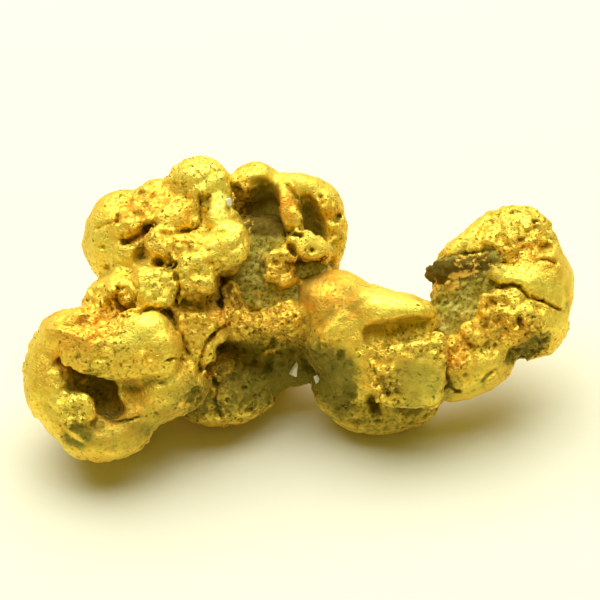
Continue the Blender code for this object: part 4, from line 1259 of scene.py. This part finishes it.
@dataclass(frozen=True)
class TumbledGold:
    """Native gold with a little silver, tumbled in gravel, its hollows still dirty and painted darker as
    shade.

    Tumbling burnished what stands out and left the rest with a fine matt grain, so light spreads
    softly over it; iron stain and rock dust fill what the gravel couldn't reach. The same dust film
    is painted shade in the hollows and shaded parts, and lemon gold is a painted highlight on lit ones.
    """

    gold: str = "FBDC58"  # clean gold
    orange: str = "F0AC38"  # gold where iron has warmed it
    lemon_and_highlight: str = "FFF26C"  # the freshest, most silvery gold, and a painted highlight on lit parts
    rust: str = "A87420"  # iron stain in the finest flaws
    olive_dust_and_shade: str = "867A1E"  # a film of rock dust, and painted shade in hollows and in the shaded zones
    dirt_and_shade: str = "7A7216"  # what is packed in cracks and pits, and painted shade in the deepest creases
    burnished: float = 0.44  # roughness of what stands out
    matt: float = 0.6  # roughness of the rest
    cloud_mm: float = 1.4  # clouds of warmer and paler gold
    mottle_mm: float = 0.35  # blotches, stain and dust
    pit_mm: float = 0.24  # from pit to pit
    grain_mm: float = 0.12  # the matt grain, drawn coarser than it is so that it shows
    grain_depth_mm: float = 0.045
    pit_depth_mm: float = 0.06
    flaw_depth_mm: float = 0.05

    def material(self) -> bpy.types.Material:
        """The finish as a Blender material, which reads the skin's attributes.

        Returns:
            The new material.
        """
        made, tree, shader, where = new_finish("tumbled native gold")
        fine, broad, sheltered, rough, tone_and_highlight, stain_shade_and_glint = [
            add_node(tree, "ShaderNodeAttribute", {"attribute_name": name}, {}).outputs["Fac"]
            for name in ("fine_hollow", "broad_hollow", "shelter", "rough", "tone_and_highlight", "stain_shade_and_glint")
        ]
        patterns = []
        for waves, detail in ((self.cloud_mm, 3.0), (self.mottle_mm, 4.0), (self.grain_mm, 2.0)):
            inputs = {"Vector": where, "Scale": per_metre(waves), "Detail": detail, "Roughness": 0.6}
            patterns.append(add_node(tree, "ShaderNodeTexNoise", {}, inputs).outputs["Fac"])
        cloud, mottle, grain = patterns
        inputs = {"Vector": where, "Scale": per_metre(self.pit_mm)}
        cells = add_node(tree, "ShaderNodeTexVoronoi", {}, inputs)
        # How lemon (partly a painted highlight), how dusty or painted with shade, how ragged a pit's rim,
        # and where pits, flaws and rust come.
        paleness = weighted(tree, -1.5, ((tone_and_highlight, 0.5), (rough, -0.25), (cloud, 1.8), (mottle, 1.2)))
        # The dust terms also paint shade: sheltered spots, fine and broad hollows and the painted shade
        # zones darken the colour.
        dust_and_shade_terms = ((sheltered, 0.55), (fine, 6.0), (broad, 0.7), (stain_shade_and_glint, 1.1), (mottle, 0.5))
        dust_and_shade_cover = weighted(tree, -0.36, dust_and_shade_terms)
        ragged = weighted(tree, 0.45, ((cells.outputs["Distance"], 1.0), (grain, -0.9)))
        chance = weighted(tree, 0.0, ((cells.outputs["Color"], 1.0), (rough, 0.28), (cloud, 0.4)))
        flawed = weighted(tree, 0.0, ((grain, 1.0), (rough, 0.07), (mottle, 0.35)))
        rusted = weighted(tree, 0.0, ((mottle, 1.0), (rough, 0.12), (cloud, 0.3)))
        shares = []
        for value, low, high in (
            (paleness, 0.0, -1.0),  # orange gold
            (paleness, 0.0, 1.0),  # lemon gold, partly a painted highlight
            (dust_and_shade_cover, 0.2, 1.0),  # film of dust, and painted shade
            (dust_and_shade_cover, 1.4, 2.3),  # packed dirt, and painted shade in the deepest creases
            (ragged, 0.32, 0.14),  # a pit's hole in each cell
            (chance, 0.8, 0.9),  # which cells have a pit
            (flawed, 0.7, 0.9),  # flaws in the grain
            (rusted, 0.74, 0.9),  # spots of rust
        ):
            inputs = {"Value": value, "From Min": low, "From Max": high}
            shares.append(add_node(tree, "ShaderNodeMapRange", {}, inputs).outputs["Result"])
        warm, pale, dust_and_shade_film, packed_dirt_and_shade, hole, pitted, flaw, spot = shares
        pit = add_node(tree, "ShaderNodeMath", {"operation": "MULTIPLY"}, {0: hole, 1: pitted}).outputs[0]
        colour = linear(self.gold)
        layers = (
            (warm, 1.0, self.orange), (pale, 1.0, self.lemon_and_highlight), (spot, 0.55, self.rust),
            (flaw, 0.6, self.rust), (dust_and_shade_film, 0.9, self.olive_dust_and_shade), (packed_dirt_and_shade, 1.0, self.dirt_and_shade),
            (pit, 0.7, self.dirt_and_shade),
        )
        for share, strength, paint in layers:
            amount = weighted(tree, 0.0, ((share, strength),))
            mix = {MIX_SHARE: amount, MIX_UNDER: colour, MIX_OVER: linear(paint)}
            colour = add_node(tree, "ShaderNodeMix", {"data_type": "RGBA"}, mix).outputs[MIX_COLOUR]
        tree.links.new(colour, shader.inputs["Base Color"])
        # Dust scatters the light as no metal does; the painted shade shares the dust's film, so it is less
        # metallic too.
        metal = weighted(tree, 1.0, ((dust_and_shade_film, -0.45), (packed_dirt_and_shade, -0.45)))
        tree.links.new(metal, shader.inputs["Metallic"])
        inputs = {"Value": fine, "From Min": 0.01, "From Max": -0.1}
        worn = add_node(tree, "ShaderNodeMapRange", {}, inputs).outputs["Result"]
        # The grain is a half on average, and 0.35 is taken off so that it leaves the mean as it is.
        wear = ((worn, self.burnished - self.matt), (dust_and_shade_film, 0.2), (grain, 0.7))
        dull = weighted(tree, self.matt - 0.35, wear)
        tree.links.new(dull, shader.inputs["Roughness"])
        bump = None
        heights = ((grain, self.grain_depth_mm), (pit, -self.pit_depth_mm), (flaw, -self.flaw_depth_mm))
        for height, depth in heights:
            inputs = {"Height": height, "Strength": 1.0, "Distance": abs(depth) / 1000}
            if bump is not None:
                inputs["Normal"] = bump
            bump = add_node(tree, "ShaderNodeBump", {"invert": depth < 0}, inputs).outputs["Normal"]
        tree.links.new(bump, shader.inputs["Normal"])
        return made


@dataclass(frozen=True)
class CementedGravel:
    """Iron-stained rock, broken rough: olive and dark grains with no gloss, dusted with gold."""

    ground: str = "A89A3A"  # olive clay that cements the grains
    pale: str = "D6C868"  # pale grains
    dark: str = "6A601C"  # specks and the gaps between the grains
    rust: str = "5E4A12"  # where iron has soaked in, and painted shade on the pocket rock
    gold: str = "E2B348"  # flakes of gold
    roughness: float = 0.85
    specular: float = 0.1  # dust takes the gloss off
    grain_mm: float = 0.5
    speck_mm: float = 0.14
    flake_mm: float = 0.3
    relief_mm: float = 0.05

    def material(self) -> bpy.types.Material:
        """The finish as a Blender material, which reads the rock's attributes.

        Returns:
            The new material.
        """
        made, tree, shader, where = new_finish("cemented gravel")
        hollow, rust, dust = [
            add_node(tree, "ShaderNodeAttribute", {"attribute_name": name}, {}).outputs["Fac"]
            for name in ("fine_hollow", "rust", "gold_dust")
        ]
        patterns = []
        for waves, detail in ((self.grain_mm, 5.0), (self.speck_mm, 3.0), (self.flake_mm, 4.0)):
            inputs = {"Vector": where, "Scale": per_metre(waves), "Detail": detail, "Roughness": 0.65}
            patterns.append(add_node(tree, "ShaderNodeTexNoise", {}, inputs).outputs["Fac"])
        grains, specks, flakes = patterns
        flaked = weighted(tree, 0.0, ((flakes, 1.0), (dust, 0.2)))
        rusted = weighted(tree, -0.5, ((rust, 1.0), (grains, 1.0)))
        shares = []
        for value, low, high in (
            (grains, 0.45, 0.65),  # pale grains
            (rusted, 0.2, 0.7),  # rust, and painted shade on the pocket rock
            (specks, 0.5, 0.66),  # dark specks
            (hollow, 0.0, 0.05),  # dark gaps between the grains
            (flaked, 0.66, 0.74),  # flakes of gold
        ):
            inputs = {"Value": value, "From Min": low, "From Max": high}
            shares.append(add_node(tree, "ShaderNodeMapRange", {}, inputs).outputs["Result"])
        light, rust_and_shade, shade, sunk, flake = shares
        colour = linear(self.ground)
        layers = (
            (light, self.pale), (rust_and_shade, self.rust), (shade, self.dark), (sunk, self.dark),
            (flake, self.gold),
        )
        for share, paint in layers:
            mix = {MIX_SHARE: share, MIX_UNDER: colour, MIX_OVER: linear(paint)}
            colour = add_node(tree, "ShaderNodeMix", {"data_type": "RGBA"}, mix).outputs[MIX_COLOUR]
        tree.links.new(colour, shader.inputs["Base Color"])
        shader.inputs["Roughness"].default_value = self.roughness
        shader.inputs["Specular IOR Level"].default_value = self.specular
        inputs = {"Height": specks, "Strength": 1.0, "Distance": self.relief_mm / 1000}
        bump = add_node(tree, "ShaderNodeBump", {}, inputs).outputs["Normal"]
        tree.links.new(bump, shader.inputs["Normal"])
        return made


@dataclass(frozen=True)
class MilkyQuartz:
    """White quartz, broken: milky inside, with a glassy skin."""

    milk: str = "FBF8EA"
    smoke: str = "D9D3B4"  # greyer clouds
    roughness: float = 0.3
    cloud_mm: float = 0.2

    def material(self) -> bpy.types.Material:
        """The finish as a Blender material.

        Returns:
            The new material.
        """
        made, tree, shader, where = new_finish("milky quartz")
        inputs = {"Vector": where, "Scale": per_metre(self.cloud_mm), "Detail": 2.0}
        clouds = add_node(tree, "ShaderNodeTexNoise", {}, inputs).outputs["Fac"]
        mix = {MIX_SHARE: clouds, MIX_UNDER: linear(self.milk), MIX_OVER: linear(self.smoke)}
        colour = add_node(tree, "ShaderNodeMix", {"data_type": "RGBA"}, mix).outputs[MIX_COLOUR]
        tree.links.new(colour, shader.inputs["Base Color"])
        shader.inputs["Roughness"].default_value = self.roughness
        return made


@dataclass
class GoldNugget:
    """The gold: lobes fused into one skin, hollowed out, crusted with crumbs, cracked and dented."""

    lobes: tuple = LEFT_LOBE + NECK + UPPER_MASS + RING + BRIDGE + MID_LOBE + ARM + BACK
    hollows: tuple = HOLLOWS
    knobs: tuple = KNOBS
    bosses: tuple = BOSSES
    crumb_patches: tuple = CRUMB_PATCHES
    strokes: tuple = STROKES
    dents: tuple = DENTS
    rough_zones: tuple = ROUGH_ZONES
    tones_and_highlights: tuple = TONES_AND_HIGHLIGHTS
    stains_shade_and_glints: tuple = STAINS_SHADE_AND_GLINTS
    wear: int = 2  # how often the fused lobes are softened, as the gravel rounded them
    boss_depth: float = 0.7  # the share of a boss's depth that is used
    boss_sink: float = 0.6  # how far its middle lies under the skin, as a share of that
    crumb_sizes: tuple = (0.5, 1.25)  # least and most, as a share of the patch's crumb size
    crumb_block: float = 0.6  # the blockiest crumb
    ruffles: tuple = ((2.6, 0.1), (1.1, 0.06), (0.5, 0.035))  # waves and reach of what bends the lobes
    # Shift, waves, depth and kind of the broken surface where the skin is rough.
    breaks: tuple = ((0, 0.95, 0.3, chipped), (9, 0.45, 0.2, chipped), (0, 1.0, 0.09, craggy),
                     (0, 0.3, 0.07, craggy))
    ripple: tuple = (0.3, 0.02)  # waves and depth of what moves all of the skin
    pitting: tuple = ((40, 0.6, 0.3), (60, 0.32, 0.2))  # shift, waves and depth of the scattered pits
    pit_level: float = 0.22  # the noise above which a pit starts
    pit_slope: float = 3.0  # how fast it sinks from there
    patches: tuple = (20, 1.6, 0.5)  # shift, waves and strength of patches with a roughness of their own
    rough_mean: float = 0.32  # how deep the surface is broken where no zone says more or less
    rough_gain: float = 0.6  # what a zone of strength 1 adds
    rough_least: float = 0.06
    fine_repeats: int = 4  # how often the skin is smoothed to find its fine hollows
    broad_repeats: int = 60  # and its broad ones
    shelter_rays: int = 14
    shelter_reach: float = 2.2
    facing_gain: float = 2.5  # how soon a slope of the skin takes the colours painted on the face
    seed: int = 11
    finish: TumbledGold = TumbledGold()

    def build(self, face: Face) -> bpy.types.Object:
        """Builds the nugget's skin and dresses it.

        Args:
            face: where the drawn face stands.

        Returns:
            The finished piece, in the frame.
        """
        obj = self.body()
        self.crust(obj)
        LOG.info("gold crusted: %d points", len(obj.data.vertices))
        self.sculpt(obj)
        LOG.info("gold sculpted")
        thin_out(obj, SKIN_TRIANGLES)
        self.weather(obj)
        LOG.info("gold weathered")
        lay_down(obj, face)
        obj.data.materials.append(self.finish.material())
        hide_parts("nugget")
        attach(obj, "root")
        return obj

    def body(self) -> bpy.types.Object:
        """Fuses the lobes, cuts their hollows, and adds what stands in these.

        Returns:
            The bare body, in drawn millimetres.
        """
        obj = add_object("gold_nugget", lumps_mesh("gold_nugget", self.lobes))
        fuse(obj, BODY_VOXEL)
        cutter = add_object("hollows", lumps_mesh("hollows", self.hollows))
        fuse(cutter, BODY_VOXEL)
        carve(obj, cutter)
        soften(obj, self.wear)
        obj.data = joined(obj.data, lumps_mesh("knobs", self.knobs))
        fuse(obj, BODY_VOXEL)
        return obj

    def crust(self, obj: bpy.types.Object) -> None:
        """Sticks bosses and crumbs to the skin where the eye sees their places.

        Args:
            obj: the bare body.
        """
        dice = random.Random(self.seed)
        tree = tree_of(obj)
        bodies = []
        for boss in self.bosses:
            at = meet(tree, boss.u, boss.v)
            if at is not None:
                deep = boss.half[2] * self.boss_depth
                middle = (at.x, at.y, at.z - deep * self.boss_sink + boss.out)
                half = (boss.half[0], boss.half[1], deep)
                bodies.append(Lump(middle, half, (0, 0, boss.turn), boss.block))
        for patch in self.crumb_patches:
            turn = math.radians(patch.turn)
            for _ in range(patch.count):
                way, reach = dice.uniform(0, 2 * math.pi), math.sqrt(dice.random())
                right = patch.half_u * reach * math.cos(way)
                up = patch.half_v * reach * math.sin(way)
                at = meet(tree, patch.u + right * math.cos(turn) - up * math.sin(turn),
                          patch.v + up * math.cos(turn) + right * math.sin(turn))
                half = [patch.size * dice.uniform(*self.crumb_sizes) for _ in range(3)]
                angles = [dice.uniform(0, 360) for _ in range(3)]
                if at is not None:
                    block = dice.uniform(0, self.crumb_block)
                    bodies.append(Lump(tuple(at), tuple(half), tuple(angles), block))
        obj.data = joined(obj.data, lumps_mesh("crust", bodies))
        fuse(obj, SKIN_VOXEL)

    def sculpt(self, obj: bpy.types.Object) -> None:
        """Ruffles the skin, cuts cracks, folds and pits into it, and breaks it up where it is rough.

        Args:
            obj: the crusted body.
        """
        skin = Skin(obj)
        for waves, reach in self.ruffles:
            skin.points = warped(skin.points, waves, reach)
        skin.write()
        shown = skin.shown()
        for stroke in self.strokes:
            skin.mark(stroke, shown)
        for dent in self.dents:
            skin.dent(dent, shown)
        skin.write()
        zoned = self.rough_mean + self.rough_gain * self.roughness(skin, shown)
        rough = np.clip(zoned, self.rough_least, 1)
        amount = np.zeros(len(rough))
        for shift, waves, depth, kind in self.breaks:
            amount += rough * depth * sample(skin.points + shift, waves, kind)
        waves, depth = self.ripple
        amount += depth * sample(skin.points, waves)
        for shift, waves, depth in self.pitting:
            above = sample(skin.points + shift, waves) - self.pit_level
            amount -= depth * rough * np.clip(above * self.pit_slope, 0, 1)
        skin.push(amount)

    def roughness(self, skin: Skin, shown: np.ndarray) -> np.ndarray:
        """How rough the skin is at each point.

        Args:
            skin: the skin.
            shown: how open each point is to the eye.

        Returns:
            The roughness, from -1 for burnished to 1 for crumbly.
        """
        shift, waves, strength = self.patches
        patchy = strength * sample(skin.points + shift, waves)
        return np.clip(painted(seen(skin.points), self.rough_zones, shown) + patchy, -1, 1)

    def weather(self, obj: bpy.types.Object) -> None:
        """Works out for the finish where the skin is hollow, sheltered, rough, warm or lemon with painted
        highlight, and stained or painted with shade and glints.

        Args:
            obj: the sculpted body.
        """
        skin = Skin(obj)
        shown = np.clip(skin.normals[:, 2] * self.facing_gain, 0, 1)
        places = seen(skin.points)
        add_attribute(obj, "fine_hollow", hollowness(obj, self.fine_repeats))
        add_attribute(obj, "broad_hollow", hollowness(obj, self.broad_repeats))
        add_attribute(obj, "shelter", shelter(obj, self.shelter_rays, self.shelter_reach))
        add_attribute(obj, "rough", self.roughness(skin, shown))
        add_attribute(obj, "tone_and_highlight", painted(places, self.tones_and_highlights, shown))
        add_attribute(obj, "stain_shade_and_glint", painted(places, self.stains_shade_and_glints, shown))


def lay_down(obj: bpy.types.Object, face: Face) -> None:
    """Moves a mesh from the drawn face into the frame, with nothing below the floor.

    Args:
        obj: the mesh's object.
        face: where the drawn face stands.
    """
    obj.data.transform(face.matrix())
    points = read_points(obj.data)
    points[:, 2] = np.maximum(points[:, 2], 0)
    write_points(obj.data, points)
    obj.data.shade_smooth()


@dataclass
class HostRock:
    """A piece of the rock that the gold grew in, left in one of its pockets."""

    name: str
    node: str
    lumps: tuple
    # Zones of rust; on the pocket rock, painted shade deep in the ring.
    rust: tuple
    gold_dust: tuple
    finish: CementedGravel = CementedGravel()
    depth: float = 0.12  # of the broken surface, in drawn millimetres
    crumb_waves: float = 0.38
    crumb_mean: float = 0.7  # what the crumbling is on average, so that the rock keeps its size
    crags: tuple = ((0.9, 0.8), (0.3, 0.35))  # waves, and share of the depth
    fine_repeats: int = 4  # how often the skin is smoothed to find the gaps between the grains

    def build(self, face: Face) -> bpy.types.Object:
        """Builds the rock and dresses it.

        Args:
            face: where the drawn face stands.

        Returns:
            The finished piece, in the frame.
        """
        obj = add_object(self.name, lumps_mesh(self.name, self.lumps))
        fuse(obj, ROCK_VOXEL)
        skin = Skin(obj)
        amount = self.depth * (sample(skin.points, self.crumb_waves, crumble) - self.crumb_mean)
        for waves, share in self.crags:
            amount += self.depth * share * sample(skin.points, waves, craggy)
        skin.push(amount)
        add_attribute(obj, "fine_hollow", hollowness(obj, self.fine_repeats))
        places = seen(skin.points)
        everywhere = np.ones(len(places))
        # The rust attribute carries painted shade on the pocket rock and real rust on the notch rock.
        add_attribute(obj, "rust", painted(places, self.rust, everywhere))
        add_attribute(obj, "gold_dust", painted(places, self.gold_dust, everywhere))
        lay_down(obj, face)
        obj.data.materials.append(self.finish.material())
        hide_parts(self.node)
        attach(obj, "root")
        return obj


@dataclass
class QuartzSpecks:
    """Broken specks of white quartz: two in the cave under the bridge, one beside the ring."""

    slivers: tuple = (
        Lump((-0.16, -2.8, 0), (0.17, 0.33, 0.14), (20, 25, -28), 1.0),
        Lump((0.68, -3.16, 0), (0.14, 0.13, 0.1), (35, 10, 30), 1.0),
        Lump((-2.86, 3.9, 0), (0.12, 0.17, 0.1), (10, 20, 15), 1.0),
    )
    corners: int = 9  # points that a sliver's flat faces are drawn through
    least_corner: float = 0.55  # how near its middle a corner may come, as a share of its half-sizes
    seed: int = 5
    finish: MilkyQuartz = MilkyQuartz()

    def build(self, face: Face, gold: bpy.types.Object) -> bpy.types.Object:
        """Builds the specks on the gold and dresses them.

        Args:
            face: where the drawn face stands.
            gold: the finished gold.

        Returns:
            The finished piece, in the frame.
        """
        dice = random.Random(self.seed)
        skin = tree_of(gold)
        eye = face.matrix() @ Vector((0, 0, EYE))
        bm = bmesh.new()
        for sliver in self.slivers:
            way = (face.matrix() @ Vector(sliver.at) - eye).normalized()
            middle = face.matrix().inverted() @ skin.ray_cast(eye, way)[0] + Vector((0, 0, sliver.half[2]))
            turn = Euler([math.radians(angle) for angle in sliver.turn]).to_matrix()
            corners = []
            for _ in range(self.corners):
                corner = [
                    half * dice.uniform(self.least_corner, 1) * dice.choice((-1, 1)) for half in sliver.half
                ]
                corners.append(bm.verts.new(middle + turn @ Vector(corner)))
            bmesh.ops.convex_hull(bm, input=corners)
        mesh = bpy.data.meshes.new("quartz_specks")
        bm.to_mesh(mesh)
        bm.free()
        obj = add_object("quartz_specks", mesh)
        mesh.transform(face.matrix())
        mesh.materials.append(self.finish.material())
        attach(obj, "root")
        return obj


@dataclass
class Studio:
    """The floor of matt paper, the light and the camera.

    The paper is uncoated, so its pressed fibres scatter the light and show no gloss. The lamp is
    one broad soft box over the nugget, and the sky's yellow fills its shadows. Sizes in metres.
    """

    floor_size: float = 1.2
    floor_colour: str = "DEDCC6"
    floor_roughness: float = 0.9
    floor_specular: float = 0.1
    sky: tuple = (1.0, 0.95, 0.2, 1.0)
    sky_strength: float = 0.24
    lamp_at: tuple = (-0.015, 0.1, 0.3)
    lamp_size: float = 0.42
    lamp_power: float = 2.35
    lens: float = 120.0
    nearest: float = 0.001  # from where the camera starts to see

    def build(self, face: Face) -> None:
        """Builds the floor, the light and the camera.

        Args:
            face: where the drawn face stands.
        """
        bpy.ops.mesh.primitive_plane_add(size=self.floor_size)
        floor = bpy.context.object
        floor.name = "floor"
        paper = bpy.data.materials.new("matt paper")
        paper.use_nodes = True
        shader = paper.node_tree.nodes["Principled BSDF"]
        shader.inputs["Base Color"].default_value = linear(self.floor_colour)
        shader.inputs["Roughness"].default_value = self.floor_roughness
        shader.inputs["Specular IOR Level"].default_value = self.floor_specular
        floor.data.materials.append(paper)
        world = bpy.data.worlds.new("studio")
        bpy.context.scene.world = world
        world.use_nodes = True
        sky = world.node_tree.nodes["Background"]
        sky.inputs["Color"].default_value = self.sky
        sky.inputs["Strength"].default_value = self.sky_strength
        bpy.context.scene.view_settings.view_transform = "Standard"
        lamp = bpy.data.objects.new("lamp", bpy.data.lights.new("lamp", "AREA"))
        lamp.data.energy = self.lamp_power
        lamp.data.size = self.lamp_size
        lamp.location = self.lamp_at
        lamp.rotation_euler = (face.origin - lamp.location).to_track_quat("-Z", "Y").to_euler()
        bpy.context.scene.collection.objects.link(lamp)
        camera = bpy.data.objects.new("camera", bpy.data.cameras.new("camera"))
        camera.data.lens = self.lens
        camera.data.clip_start = self.nearest
        camera.location = face.matrix() @ Vector((0, 0, EYE))
        camera.rotation_euler = (math.radians(90 - LIE_ANGLE), 0, 0)
        bpy.context.scene.collection.objects.link(camera)
        bpy.context.scene.camera = camera


def main() -> None:
    """Loads the frame and builds the studio, the gold, its rocks and its quartz."""
    logging.basicConfig(level=logging.INFO, format="%(message)s")
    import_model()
    face = Face.of_frame()
    Studio().build(face)
    nugget = GoldNugget().build(face)
    rocks = (
        HostRock("pocket_rock", "host_rock_pocket", POCKET_ROCK, POCKET_SHADE, POCKET_GOLD),
        HostRock("notch_rock", "host_rock_notch", NOTCH_ROCK, NOTCH_RUST, NOTCH_GOLD),
    )
    pieces = [nugget]
    for rock in rocks:
        pieces.append(rock.build(face))
    pieces.append(QuartzSpecks().build(face, nugget))
    for piece in pieces:
        LOG.info("%s: %d faces", piece.name, len(piece.data.polygons))


if __name__ == "__main__":
    main()
